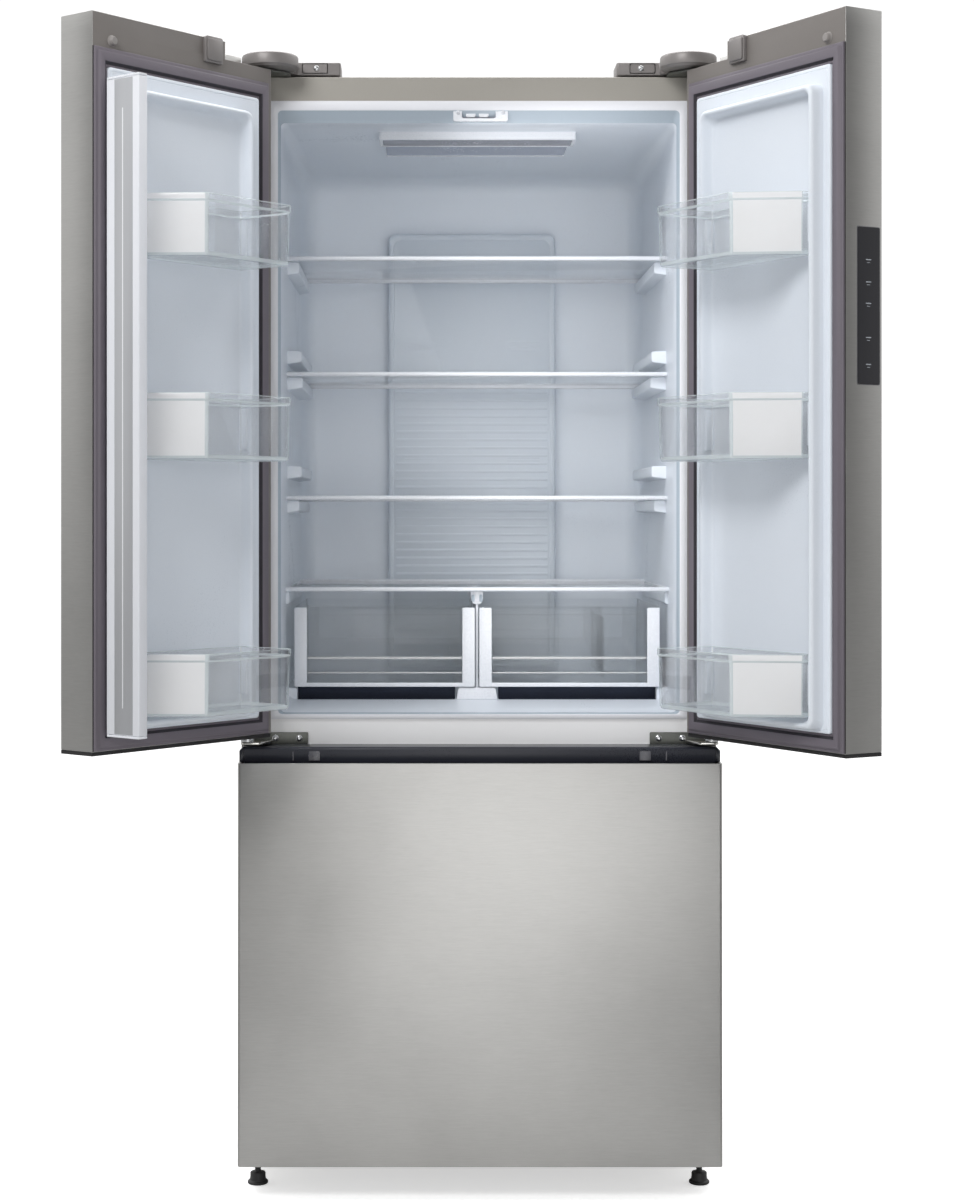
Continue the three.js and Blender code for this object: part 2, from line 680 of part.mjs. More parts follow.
function buildHardware() {
  for (const side of [-1, 1]) {
    const label = side < 0 ? "left" : "right";
    add(cabinet, `${label}_top_hinge`, topHinge(side), MATERIAL.galvanised);
    add(cabinet, `${label}_hinge_cover`, hingeCover(side), MATERIAL.grey);
    add(cabinet, `${label}_middle_hinge`, middleHinge(side), MATERIAL.galvanised);
    add(cabinet, `${label}_front_foot`, foot(side), MATERIAL.black);
    add(cabinet, `${label}_rear_roller`, roller(side), MATERIAL.black);
  }
}

function buildDrawer() {
  add(cabinet, "freezer_drawer_front", drawerFront(), MATERIAL.steel);
  add(cabinet, "drawer_grip_trim", gripTrim(), MATERIAL.charcoal);
  add(cabinet, "freezer_drawer_gasket", drawerGasket(), MATERIAL.rubber);
  add(cabinet, "freezer_drawer_liner", drawerLiner(), MATERIAL.white);
  add(cabinet, "left_drawer_rail", drawerRail(-1), MATERIAL.galvanised);
  add(cabinet, "right_drawer_rail", drawerRail(1), MATERIAL.galvanised);
  add(cabinet, "lower_freezer_basket", lowerBasket(), MATERIAL.clear);
  add(cabinet, "upper_freezer_basket", upperBasket(), MATERIAL.clear);
}

buildCabinet();
buildCooling();
buildInterior();
buildHardware();
hingedDoor(-1);
hingedDoor(1);
buildDrawer();

// The part's origin is the middle of the bounding box's bottom face, doors open.
model.updateMatrixWorld(true);
const bounds = new THREE.Box3().setFromObject(model, true);
cabinet.position.set(-(bounds.min.x + bounds.max.x) / 2, -(bounds.min.y + bounds.max.y) / 2, -bounds.min.z);

export default model;
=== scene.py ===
import bpy
import bmesh
import json
import math
from mathutils import Matrix, Vector


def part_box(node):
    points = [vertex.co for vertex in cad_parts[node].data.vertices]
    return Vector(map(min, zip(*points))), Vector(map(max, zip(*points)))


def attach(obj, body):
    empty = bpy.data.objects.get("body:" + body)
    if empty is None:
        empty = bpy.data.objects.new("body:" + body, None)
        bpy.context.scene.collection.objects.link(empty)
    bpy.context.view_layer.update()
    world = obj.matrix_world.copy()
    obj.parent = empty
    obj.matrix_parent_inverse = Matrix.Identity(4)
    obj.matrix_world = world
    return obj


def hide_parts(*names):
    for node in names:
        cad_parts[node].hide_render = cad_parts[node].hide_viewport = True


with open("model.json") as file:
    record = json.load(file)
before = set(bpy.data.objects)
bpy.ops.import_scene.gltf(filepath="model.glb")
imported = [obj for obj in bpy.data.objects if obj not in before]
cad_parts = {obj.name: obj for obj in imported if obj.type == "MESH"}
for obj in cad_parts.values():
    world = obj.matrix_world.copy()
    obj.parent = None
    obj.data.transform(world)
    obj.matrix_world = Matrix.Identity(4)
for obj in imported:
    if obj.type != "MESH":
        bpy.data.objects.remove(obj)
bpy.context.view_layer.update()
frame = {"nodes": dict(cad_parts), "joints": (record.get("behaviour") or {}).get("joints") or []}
joints = {joint["name"]: joint for joint in frame["joints"]}
nodes = frame["nodes"]
mm = 0.001


# Every piece is shaped in millimetres and then put in place by one of these matrices.
# Cabinet: x across, y back from the cabinet's front, z up from the floor.
shellLow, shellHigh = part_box("cabinet_shell")
cabinetPlace = Matrix.Translation(((shellLow.x + shellHigh.x) / 2, shellLow.y, 0)) @ Matrix.Scale(mm, 4)


# Door: x from its hinge side to its free edge, y from its inner face to the food, z up.
def doorPlace(side):
    swing = joints[("left" if side < 0 else "right") + "_door_swing"]
    turn = -math.radians(swing["range_deg"][0]) * side
    local = Matrix(((-side, 0, 0, side * 13.5), (0, 1, 0, 38.5), (0, 0, 1, 0), (0, 0, 0, 1)))
    pin = swing["pos_m"]
    return Matrix.Translation((pin[0], pin[1], 0)) @ Matrix.Rotation(turn, 4, "Z") @ Matrix.Scale(mm,
                                                                                                  4) @ local


# Camera
cameraSettings = {"lens": 67.21, "shiftX": 0.0527, "shiftY": -0.0682, "x": -0.0876, "y": -3.5961,
                  "z": 1.073}


def addCamera():
    lens = bpy.data.cameras.new("camera")
    lens.lens = cameraSettings["lens"]
    lens.shift_x, lens.shift_y = cameraSettings["shiftX"], cameraSettings["shiftY"]
    camera = bpy.data.objects.new("camera", lens)
    bpy.context.scene.collection.objects.link(camera)
    centre = cabinetPlace.translation
    camera.location = (centre.x + cameraSettings["x"], centre.y + cameraSettings["y"], cameraSettings["z"])
    camera.rotation_euler = (math.radians(90), 0, 0)
    bpy.context.scene.camera = camera


# Node groups
def newGroup(name, inputs, outputs):
    group = bpy.data.node_groups.new(name, "ShaderNodeTree")
    for label, kind, value in inputs:
        socket = group.interface.new_socket(label, in_out="INPUT", socket_type="NodeSocket" + kind)
        if value is not None:
            socket.default_value = value
    for label, kind in outputs:
        group.interface.new_socket(label, in_out="OUTPUT", socket_type="NodeSocket" + kind)
    return group, group.nodes.new("NodeGroupInput"), group.nodes.new("NodeGroupOutput")


def addNode(tree, kind, **settings):
    made = tree.nodes.new("ShaderNode" + kind)
    for key, value in settings.items():
        if hasattr(made, key):
            setattr(made, key, value)
        else:
            made.inputs[key.replace("_", " ")].default_value = value
    return made


# Long fine streaks of brushed sheet, running level round the panel.
def buildBrushedGrain():
    group, start, end = newGroup(
        "brushedGrain",
        [("Vector", "Vector", None), ("Length", "Float", 3.0), ("Fineness", "Float", 900.0)],
        [("Streaks", "Float"), ("Height", "Float")],
    )
    wires = group.links.new
    parts = addNode(group, "SeparateXYZ")
    wires(start.outputs["Vector"], parts.inputs[0])
    streaks = []
    for finer in (1.0, 2.7):
        scaled = addNode(group, "CombineXYZ")
        for axis, source in enumerate(("Length", "Length", "Fineness")):
            product = addNode(group, "Math", operation="MULTIPLY")
            wires(parts.outputs[axis], product.inputs[0])
            wires(start.outputs[source], product.inputs[1])
            wider = addNode(group, "Math", operation="MULTIPLY")
            wires(product.outputs[0], wider.inputs[0])
            wider.inputs[1].default_value = finer
            wires(wider.outputs[0], scaled.inputs[axis])
        noise = addNode(group, "TexNoise", Scale=1.0, Detail=3.0, Roughness=0.6)
        wires(scaled.outputs[0], noise.inputs["Vector"])
        streaks.append(noise.outputs["Fac"])
    both = addNode(group, "Math", operation="ADD")
    wires(streaks[0], both.inputs[0])
    wires(streaks[1], both.inputs[1])
    half = addNode(group, "Math", operation="MULTIPLY")
    wires(both.outputs[0], half.inputs[0])
    half.inputs[1].default_value = 0.5
    wires(half.outputs[0], end.inputs["Streaks"])
    wires(streaks[0], end.inputs["Height"])
    return group


# Small rounded texture of moulded plastic and textured paint.
def buildPebble():
    group, start, end = newGroup(
        "pebble", [("Vector", "Vector", None), ("Scale", "Float", 900.0)],
        [("Height", "Float"), ("Speckle", "Float")]
    )
    wires = group.links.new
    cells = addNode(group, "TexVoronoi", feature="SMOOTH_F1")
    noise = addNode(group, "TexNoise", Detail=3.0, Roughness=0.6)
    for texture in (cells, noise):
        wires(start.outputs["Vector"], texture.inputs["Vector"])
        wires(start.outputs["Scale"], texture.inputs["Scale"])
    mixed = addNode(group, "Math", operation="ADD")
    wires(cells.outputs["Distance"], mixed.inputs[0])
    wires(noise.outputs["Fac"], mixed.inputs[1])
    wires(mixed.outputs[0], end.inputs["Height"])
    wires(noise.outputs["Fac"], end.inputs["Speckle"])
    return group


# Broad soft unevenness: handling smears, dust film and tone drift.
def buildDrift():
    group, start, end = newGroup(
        "drift", [("Vector", "Vector", None), ("Scale", "Float", 6.0)], [("Amount", "Float")]
    )
    wires = group.links.new
    noise = addNode(group, "TexNoise", Detail=4.0, Roughness=0.55, Distortion=0.4)
    wires(start.outputs["Vector"], noise.inputs["Vector"])
    wires(start.outputs["Scale"], noise.inputs["Scale"])
    ramp = addNode(group, "MapRange")
    ramp.inputs["From Min"].default_value, ramp.inputs["From Max"].default_value = 0.3, 0.7
    wires(noise.outputs["Fac"], ramp.inputs["Value"])
    wires(ramp.outputs["Result"], end.inputs["Amount"])
    return group


# Rubbed edges, found where a rounded normal leaves the flat one.
def buildEdgeWear():
    group, start, end = newGroup(
        "edgeWear", [("Vector", "Vector", None), ("Breakup", "Float", 160.0)], [("Worn", "Float")]
    )
    wires = group.links.new
    bevelled = addNode(group, "Bevel", samples=4, Radius=0.0012)
    flat = addNode(group, "NewGeometry")
    gap = addNode(group, "VectorMath", operation="DISTANCE")
    wires(bevelled.outputs["Normal"], gap.inputs[0])
    wires(flat.outputs["Normal"], gap.inputs[1])
    noise = addNode(group, "TexNoise", Detail=3.0)
    wires(start.outputs["Vector"], noise.inputs["Vector"])
    wires(start.outputs["Breakup"], noise.inputs["Scale"])
    worn = addNode(group, "Math", operation="MULTIPLY", use_clamp=True)
    wires(gap.outputs["Value"], worn.inputs[0])
    wires(noise.outputs["Fac"], worn.inputs[1])
    wires(worn.outputs[0], end.inputs["Worn"])
    return group


groups = {"grain": buildBrushedGrain(), "pebble": buildPebble(), "drift": buildDrift(),
          "wear": buildEdgeWear()}


# Materials
# tone and other: the two colours the surface drifts between; rough: its low and high roughness.
# grain or pebble: scale and bump height of the texture; wear: colour of rubbed edges; metal: 0 if not given.
finishes = {
    "brushedSteel": {"tone": (0.40, 0.396, 0.385), "other": (0.54, 0.535, 0.52), "rough": (0.33, 0.40),
                     "metal": 1.0, "grain": (34.0, 560.0, 0.004), "brushed": 0.6},
    "topFlangePaint": {"tone": (0.31, 0.295, 0.262), "other": (0.37, 0.352, 0.32), "rough": (0.45, 0.55),
                       "metal": 0.35, "pebble": (1100.0, 0.04)},
    "sidePaint": {"tone": (0.36, 0.35, 0.33), "other": (0.40, 0.39, 0.37), "rough": (0.42, 0.5),
                  "metal": 0.35,
                  "pebble": (900.0, 0.03)},
    "doorBand": {"tone": (0.165, 0.15, 0.14), "other": (0.215, 0.198, 0.186), "rough": (0.5, 0.6),
                 "metal": 0.1,
                 "pebble": (1300.0, 0.03)},
    "linerWhite": {"tone": (0.74, 0.79, 0.86), "other": (0.78, 0.825, 0.885), "rough": (0.24, 0.32),
                   "pebble": (420.0, 0.006)},
    "flangeWhite": {"tone": (0.80, 0.81, 0.86), "other": (0.84, 0.85, 0.89), "rough": (0.25, 0.33),
                    "pebble": (420.0, 0.006)},
    # painted light: a brighter copy of the flange white, making up for the shade on the cross rail
    "railPaintedLightWhite": {"tone": (0.92, 0.92, 0.93), "other": (0.95, 0.95, 0.955), "rough": (0.25, 0.33),
                  "pebble": (420.0, 0.006)},
    "ductWhite": {"tone": (0.70, 0.755, 0.82), "other": (0.74, 0.79, 0.85), "rough": (0.3, 0.4),
                  "pebble": (600.0, 0.01)},
    "trimWhite": {"tone": (0.78, 0.80, 0.85), "other": (0.82, 0.84, 0.88), "rough": (0.22, 0.3),
                  "pebble": (500.0, 0.006)},
    # painted shade: a grey-blue copy of the liner white for the chamfer behind the liner's front flange;
    # also the small grey tabs on the crisper support
    "chamferShadeAndGreyTabs": {"tone": (0.40, 0.47, 0.54), "other": (0.44, 0.51, 0.58), "rough": (0.3, 0.4),
                    "pebble": (420.0, 0.006)},
    # painted shade: near-black slate for the gap under the crispers
    "underCrisperShade": {"tone": (0.03, 0.036, 0.055), "other": (0.045, 0.052, 0.074), "rough": (0.8, 0.9),
                 "pebble": (700.0, 0.01), "shine": 0.0},
    "gasketRubber": {"tone": (0.135, 0.118, 0.142), "other": (0.165, 0.148, 0.172), "rough": (0.55, 0.7),
                     "pebble": (1500.0, 0.02)},
    # painted shade: near-black copy of the gasket rubber for the groove in its profile
    "gasketGrooveShade": {"tone": (0.03, 0.028, 0.034), "other": (0.045, 0.04, 0.05), "rough": (0.7, 0.8),
                   "pebble": (1500.0, 0.02)},
    "hingeCoverPaint": {"tone": (0.195, 0.18, 0.175), "other": (0.24, 0.225, 0.22), "rough": (0.36, 0.46),
                        "metal": 0.3, "pebble": (1400.0, 0.015)},
    "hingeSteel": {"tone": (0.11, 0.115, 0.105), "other": (0.17, 0.175, 0.16), "rough": (0.35, 0.5),
                   "metal": 0.8,
                   "pebble": (500.0, 0.02)},
    "screwSteel": {"tone": (0.55, 0.56, 0.57), "other": (0.66, 0.67, 0.68), "rough": (0.2, 0.3),
                   "metal": 1.0,
                   "pebble": (900.0, 0.01)},
    "pinChrome": {"tone": (0.62, 0.61, 0.58), "other": (0.7, 0.69, 0.66), "rough": (0.12, 0.2),
                  "metal": 1.0,
                  "pebble": (300.0, 0.008)},
    "gripCharcoal": {"tone": (0.022, 0.024, 0.034), "other": (0.03, 0.032, 0.044), "rough": (0.22, 0.32),
                     "pebble": (700.0, 0.01)},
    "capBlack": {"tone": (0.012, 0.011, 0.012), "other": (0.02, 0.019, 0.02), "rough": (0.5, 0.65),
                 "pebble": (900.0, 0.03)},
    "panelGlassBlack": {"tone": (0.006, 0.006, 0.010), "other": (0.008, 0.008, 0.013), "rough": (0.06, 0.1),
                        "pebble": (60.0, 0.002)},
    "panelBorder": {"tone": (0.16, 0.16, 0.17), "other": (0.2, 0.2, 0.21), "rough": (0.3, 0.4),
                    "metal": 0.6,
                    "pebble": (600.0, 0.006)},
    "markGrey": {"tone": (0.35, 0.38, 0.42), "other": (0.4, 0.43, 0.47), "rough": (0.4, 0.5),
                 "pebble": (600.0, 0.004)},
    "bumperRubber": {"tone": (0.24, 0.225, 0.215), "other": (0.29, 0.27, 0.26), "rough": (0.5, 0.6),
                     "pebble": (1200.0, 0.02)},
    "flapWhite": {"tone": (0.72, 0.735, 0.78), "other": (0.76, 0.775, 0.815), "rough": (0.28, 0.36),
                  "pebble": (600.0, 0.008)},
    "flapMetal": {"tone": (0.47, 0.48, 0.50), "other": (0.52, 0.53, 0.55), "rough": (0.34, 0.42),
                  "metal": 0.55,
                  "grain": (900.0, 3.0, 0.008)},
    "flapGroove": {"tone": (0.80, 0.81, 0.83), "other": (0.84, 0.85, 0.87), "rough": (0.3, 0.4),
                   "metal": 0.1,
                   "pebble": (600.0, 0.006)},
    "lensGrey": {"tone": (0.27, 0.275, 0.315), "other": (0.30, 0.305, 0.345), "rough": (0.2, 0.28),
                 "pebble": (260.0, 0.02)},
    "lensBlue": {"tone": (0.33, 0.36, 0.45), "other": (0.36, 0.39, 0.48), "rough": (0.2, 0.28),
                 "pebble": (260.0, 0.02)},
    "footBlack": {"tone": (0.015, 0.015, 0.016), "other": (0.03, 0.03, 0.031), "rough": (0.4, 0.55),
                  "pebble": (900.0, 0.03), "wear": (0.12, 0.12, 0.12)},
    "galvanised": {"tone": (0.42, 0.43, 0.44), "other": (0.52, 0.53, 0.54), "rough": (0.38, 0.5),
                   "metal": 0.8,
                   "pebble": (60.0, 0.02)},
    "aluminiumFin": {"tone": (0.62, 0.63, 0.64), "other": (0.7, 0.71, 0.72), "rough": (0.3, 0.4),
                     "metal": 0.9,
                     "pebble": (300.0, 0.02)},
    "blackEnamel": {"tone": (0.01, 0.01, 0.011), "other": (0.018, 0.018, 0.02), "rough": (0.25, 0.35),
                    "pebble": (200.0, 0.02), "wear": (0.09, 0.09, 0.095)},
    "greyPlastic": {"tone": (0.2, 0.2, 0.21), "other": (0.24, 0.24, 0.25), "rough": (0.5, 0.6),
                    "pebble": (900.0, 0.02)},
    "foamYellow": {"tone": (0.72, 0.6, 0.32), "other": (0.8, 0.69, 0.4), "rough": (0.8, 0.9),
                   "pebble": (300.0, 0.3)},
    # painted glare: near-white for the glare on each bin's free end wall; also the frosted grip ledges of
    # the crispers
    "frostAndPaintedGlare": {"tone": (0.96, 0.96, 0.965), "other": (0.98, 0.98, 0.985), "rough": (0.1, 0.2),
                 "pebble": (60.0, 0.004), "alpha": 0.6},
    # painted highlight: lighter greenish colour for the bins' rounded corners and rim
    "binPaintedEdgeHighlight": {"tone": (0.72, 0.80, 0.82), "other": (0.8, 0.86, 0.88), "rough": (0.05, 0.12),
                "pebble": (60.0, 0.004), "alpha": 0.5},
    "binBase": {"tone": (0.56, 0.62, 0.66), "other": (0.62, 0.68, 0.72), "rough": (0.1, 0.2),
                "pebble": (60.0, 0.004), "alpha": 0.4},
    # painted reflection: lighter charcoal for the bars on the drawer grip
    "gripPaintedReflection": {"tone": (0.10, 0.10, 0.115), "other": (0.13, 0.13, 0.145), "rough": (0.2, 0.3),
                  "pebble": (200.0, 0.006)},
}
clearFinishes = {
    "binAcrylic": {"color": (0.97, 0.985, 0.985), "rough": 0.005, "ior": 1.46, "swirl": (9.0, 0.01),
                   "alpha": 0.17},
    "crisperAcrylic": {"color": (0.93, 0.955, 0.97), "rough": 0.01, "ior": 1.46, "swirl": (12.0, 0.01),
                       "alpha": 0.35},
    "shelfGlass": {"color": (0.95, 0.98, 0.975), "rough": 0.005, "ior": 1.3, "swirl": (6.0, 0.004),
                   "alpha": 0.4},
    "basketPlastic": {"color": (0.86, 0.9, 0.92), "rough": 0.08, "ior": 1.46, "swirl": (20.0, 0.05),
                      "alpha": 0.8},
}
materials = {}


def startMaterial(name):
    material = bpy.data.materials.new(name)
    material.use_nodes = True
    tree = material.node_tree
    shader = tree.nodes["Principled BSDF"]
    place = addNode(tree, "TexCoord").outputs["Object"]
    materials[name] = material
    return tree, shader, place


def placeGroup(tree, name, place, **values):
    made = addNode(tree, "Group")
    made.node_tree = groups[name]
    tree.links.new(place, made.inputs["Vector"])
    for key, value in values.items():
        made.inputs[key].default_value = value
    return made


def addBump(tree, shader, height, distance):
    bump = addNode(tree, "Bump", Strength=1.0, Distance=distance * mm)
    tree.links.new(height, bump.inputs["Height"])
    tree.links.new(bump.outputs["Normal"], shader.inputs["Normal"])


def buildFinish(name, look):
    tree, shader, place = startMaterial(name)
    wires = tree.links.new
    drift = placeGroup(tree, "drift", place, Scale=5.0).outputs["Amount"]
    if "grain" in look:
        lengthwise, fineness, height = look["grain"]
        grain = placeGroup(tree, "grain", place, Length=lengthwise, Fineness=fineness)
        fine, relief = grain.outputs["Streaks"], grain.outputs["Height"]
    else:
        fineness, height = look["pebble"]
        pebble = placeGroup(tree, "pebble", place, Scale=fineness)
        fine, relief = pebble.outputs["Speckle"], pebble.outputs["Height"]
    blend = addNode(tree, "Math", operation="MULTIPLY_ADD")
    wires(drift, blend.inputs[0])
    blend.inputs[1].default_value = 0.35
    wires(fine, blend.inputs[2])
    tone = addNode(tree, "Mix", data_type="RGBA")
    wires(blend.outputs[0], tone.inputs["Factor"])
    tone.inputs["A"].default_value = (*look["tone"], 1)
    tone.inputs["B"].default_value = (*look["other"], 1)
    color = tone.outputs["Result"]
    if "wear" in look:
        worn = placeGroup(tree, "wear", place)
        rubbed = addNode(tree, "Mix", data_type="RGBA")
        wires(worn.outputs["Worn"], rubbed.inputs["Factor"])
        wires(color, rubbed.inputs["A"])
        rubbed.inputs["B"].default_value = (*look["wear"], 1)
        color = rubbed.outputs["Result"]
    wires(color, shader.inputs["Base Color"])
    rough = addNode(tree, "MapRange")
    rough.inputs["To Min"].default_value, rough.inputs["To Max"].default_value = look["rough"]
    wires(blend.outputs[0], rough.inputs["Value"])
    wires(rough.outputs["Result"], shader.inputs["Roughness"])
    shader.inputs["Metallic"].default_value = look.get("metal", 0.0)
    if "shine" in look:
        shader.inputs["Specular IOR Level"].default_value = look["shine"]
    if "alpha" in look:
        shader.inputs["Alpha"].default_value = look["alpha"]
    if "brushed" in look:
        shader.inputs["Anisotropic"].default_value = look["brushed"]
        shader.inputs["Anisotropic Rotation"].default_value = 0.25
        around = addNode(tree, "Tangent", direction_type="RADIAL", axis="Z")
        wires(around.outputs["Tangent"], shader.inputs["Tangent"])
    addBump(tree, shader, relief, height)


def buildClear(name, look):
    tree, shader, place = startMaterial(name)
    shader.inputs["Base Color"].default_value = (*look["color"], 1)
    shader.inputs["Transmission Weight"].default_value = 1.0
    shader.inputs["IOR"].default_value = look["ior"]
    shader.inputs["Alpha"].default_value = look["alpha"]
    rough = addNode(tree, "MapRange")
    rough.inputs["To Min"].default_value = look["rough"]
    rough.inputs["To Max"].default_value = look["rough"] * 3
    drift = placeGroup(tree, "drift", place, Scale=look["swirl"][0])
    tree.links.new(drift.outputs["Amount"], rough.inputs["Value"])
    tree.links.new(rough.outputs["Result"], shader.inputs["Roughness"])
    addBump(tree, shader, drift.outputs["Amount"], look["swirl"][1])


for finishName, finishLook in finishes.items():
    buildFinish(finishName, finishLook)
for finishName, finishLook in clearFinishes.items():
    buildClear(finishName, finishLook)
print("materials:", len(materials))


# Shaping helpers
def rect(low, high):
    return [(low[0], low[1]), (high[0], low[1]), (high[0], high[1]), (low[0], high[1])]


# Points of an outline with its corners rounded; radius is one number or one per corner.
def rounded(points, radius, steps=4):
    result = []
    for index, point in enumerate(points):
        reach = radius[index] if isinstance(radius, (list, tuple)) else radius
        corner = Vector(point)
        before = (Vector(points[index - 1]) - corner).normalized()
        after = (Vector(points[(index + 1) % len(points)]) - corner).normalized()
        half = before.angle(after) / 2
        centre = corner + (before + after).normalized() * (reach / math.sin(half))
        start = corner + before * (reach / math.tan(half)) - centre
        sweep = start.angle_signed(corner + after * (reach / math.tan(half)) - centre)
        for step in range(steps + 1):
            result.append(centre + Matrix.Rotation(-sweep * step / steps, 2) @ start)
    return result


def upright(depth):  # outline given as (x, z)
    return lambda p: (p[0], depth, p[1])


def level(height):  # outline given as (x, y)
    return lambda p: (p[0], p[1], height)


def across(x):  # outline given as (y, z)
    return lambda p: (x, p[0], p[1])


# Skin stretched over outlines that all have the same number of points: (points, at, finish index)
def addLoft(bm, rings, caps=(True, True), closed=False):
    loops = [[bm.verts.new(at(p)) for p in points] for points, at, _ in rings]
    pairs = list(zip(loops, loops[1:], [ring[2] for ring in rings[1:]]))
    if closed:
        pairs.append((loops[-1], loops[0], rings[0][2]))
    for first, second, index in pairs:
        for i in range(len(first)):
            made = bm.faces.new((first[i - 1], first[i], second[i], second[i - 1]))
            made.material_index = index
    for wanted, loop, index in ((caps[0], loops[0], rings[0][2]), (caps[1], loops[-1], rings[-1][2])):
        if wanted and not closed:
            bm.faces.new(loop).material_index = index


# Outline raised into a solid; near and far are the two depths.
def addPrism(bm, points, at, near, far, edge=0.0, finish=0, steps=2):
    before = set(bm.faces)
    made = bm.faces.new([bm.verts.new(at(near)(p)) for p in points])
    raised = bmesh.ops.extrude_face_region(bm, geom=[made])
    shift = Vector(at(far)((0, 0))) - Vector(at(near)((0, 0)))
    bmesh.ops.translate(bm, verts=[g for g in raised["geom"] if isinstance(g, bmesh.types.BMVert)],
                        vec=shift)
    fresh = [f for f in bm.faces if f not in before]
    bmesh.ops.recalc_face_normals(bm, faces=fresh)
    for f in fresh:
        f.material_index = finish
    if edge:
        softenEdges(bm, fresh, edge, steps)


def softenEdges(bm, faces, width, steps=2, sharper=28):
    bm.normal_update()
    edges = {e for f in faces for e in f.edges}
    sharp = [e for e in edges if len(e.link_faces) == 2 and e.calc_face_angle(0) > math.radians(sharper)]
    bmesh.ops.bevel(bm, geom=sharp, offset=width, segments=steps, affect="EDGES", profile=0.5, material=-1)


# Round piece turned about an upright axis from (radius, z) points.
def addTurned(bm, profile, centre, axis="z", finish=0, steps=32):
    verts = [bm.verts.new((radius, 0, height)) for radius, height in profile]
    edges = [bm.edges.new(pair) for pair in zip(verts, verts[1:])]
    before = set(bm.faces)
    bmesh.ops.spin(
        bm, geom=verts + edges, cent=(0, 0, 0), axis=(0, 0, 1), angle=2 * math.pi, steps=steps,
        use_merge=True
    )
    fresh = [f for f in bm.faces if f not in before]
    around = {v for f in fresh for v in f.verts}
    bmesh.ops.remove_doubles(bm, verts=list(around), dist=1e-4)
    fresh = [f for f in bm.faces if f not in before]
    around = list({v for f in fresh for v in f.verts})
    turn = {"z": Matrix.Identity(3), "y": Matrix.Rotation(math.radians(90), 3, "X"),
            "x": Matrix.Rotation(math.radians(90), 3, "Y")}[axis]
    bmesh.ops.transform(bm, matrix=Matrix.Translation(centre) @ turn.to_4x4(), verts=around)
    for f in fresh:
        f.material_index = finish


# Pan head screw with a round dip in its head, the head standing out along the axis.
def addScrew(bm, centre, axis, radius=4.2, finish=0, out=1):
    profile = [(0, 0), (radius, 0), (radius, out * 0.9), (radius * 0.8, out * 2.0),
               (radius * 0.42, out * 2.5),
               (radius * 0.34, out * 1.2), (0, out * 1.1)]
    addTurned(bm, profile, centre, axis, finish, 20)


def finishPiece(name, bm, place, looks, body, stands=(), smooth=32):
    bmesh.ops.recalc_face_normals(bm, faces=bm.faces)
    bm.transform(place)
    if place.determinant() < 0:
        bmesh.ops.reverse_faces(bm, faces=bm.faces)
    mesh = bpy.data.meshes.new(name)
    bm.to_mesh(mesh)
    bm.free()
    for look in looks:
        mesh.materials.append(materials[look])
    mesh.shade_smooth()
    mesh.set_sharp_from_angle(angle=math.radians(smooth))
    piece = bpy.data.objects.new(name, mesh)
    bpy.context.scene.collection.objects.link(piece)
    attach(piece, body)
    if stands:
        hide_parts(*stands)
    return piece


# Doors
doorSkin = {"width": 379, "thick": 70, "bottom": 733.8, "top": 1808, "corner": 5, "notch": 103,
            "notchFloor": 1780.5,
            "notchSkin": 65, "hem": 0.8, "seam": (735, 1757), "edge": 0.9}


def makeDoorSkin(side, label):
    d = doorSkin
    bm = bmesh.new()
    front = -d["thick"]
    notchPoints = [(0, 0), (d["notch"], 0), (d["notch"], -d["notchSkin"]), (0, -d["notchSkin"])]
    restPoints = [(d["notch"], 0), (d["width"], 0)]
    c, steps = d["corner"], 5
    for cx, start in ((d["width"] - c, 0), (c, 90)):
        for k in range(steps + 1):
            a = math.radians(start + 90 * k / steps)
            restPoints.append((cx + c * math.cos(a), front + c - c * math.sin(a)))
    restPoints.append((d["notch"], -d["notchSkin"]))
    shared = {}

    def vert(p):
        key = (round(p[0], 3), round(p[1], 3))
        if key not in shared:
            shared[key] = bm.verts.new((p[0], p[1], d["bottom"]))
        return shared[key]

    pocket = bm.faces.new([vert(p) for p in notchPoints])
    rest = bm.faces.new([vert(p) for p in restPoints])
    made = bmesh.ops.extrude_face_region(bm, geom=[pocket, rest])
    lifted = [g for g in made["geom"] if isinstance(g, bmesh.types.BMVert)]
    bmesh.ops.translate(bm, verts=lifted, vec=(0, 0, d["notchFloor"] - d["bottom"]))
    tops = [g for g in made["geom"] if isinstance(g, bmesh.types.BMFace)]
    upper = max(tops, key=lambda f: f.calc_area())
    made = bmesh.ops.extrude_face_region(bm, geom=[upper])
    lifted = [g for g in made["geom"] if isinstance(g, bmesh.types.BMVert)]
    bmesh.ops.translate(bm, verts=lifted, vec=(0, 0, d["top"] - d["notchFloor"]))
    bmesh.ops.recalc_face_normals(bm, faces=bm.faces)
    bmesh.ops.dissolve_limit(bm, angle_limit=0.01, verts=bm.verts, edges=bm.edges)
    softenEdges(bm, list(bm.faces), d["edge"])
    bm.normal_update()
    inner = [f for f in bm.faces if f.normal.y > 0.99 and abs(f.calc_center_median().y) < 0.2]
    edge = bmesh.ops.inset_region(bm, faces=inner, thickness=d["hem"], depth=0, use_even_offset=True)
    for f in inner + edge["faces"]:
        f.material_index = 1
    low, high = d["seam"]
    addPrism(bm, rect((d["width"] - 2.0, low), (d["width"] - 0.5, high)), upright, -0.3, 0.4, 0.1, 2)
    for f in bm.faces:
        centre = f.calc_center_median()
        inNotch = centre.z > d["notchFloor"] - 1 and centre.x < d["notch"]
        if f.normal.y > -0.5 and inNotch and centre.y > -d["notchSkin"]:
            f.material_index = 1
    finishPiece(label + "DoorSkin", bm, doorPlace(side), ["brushedSteel", "doorBand", "capBlack"],
                label + "_door", [label + "_door_shell"])


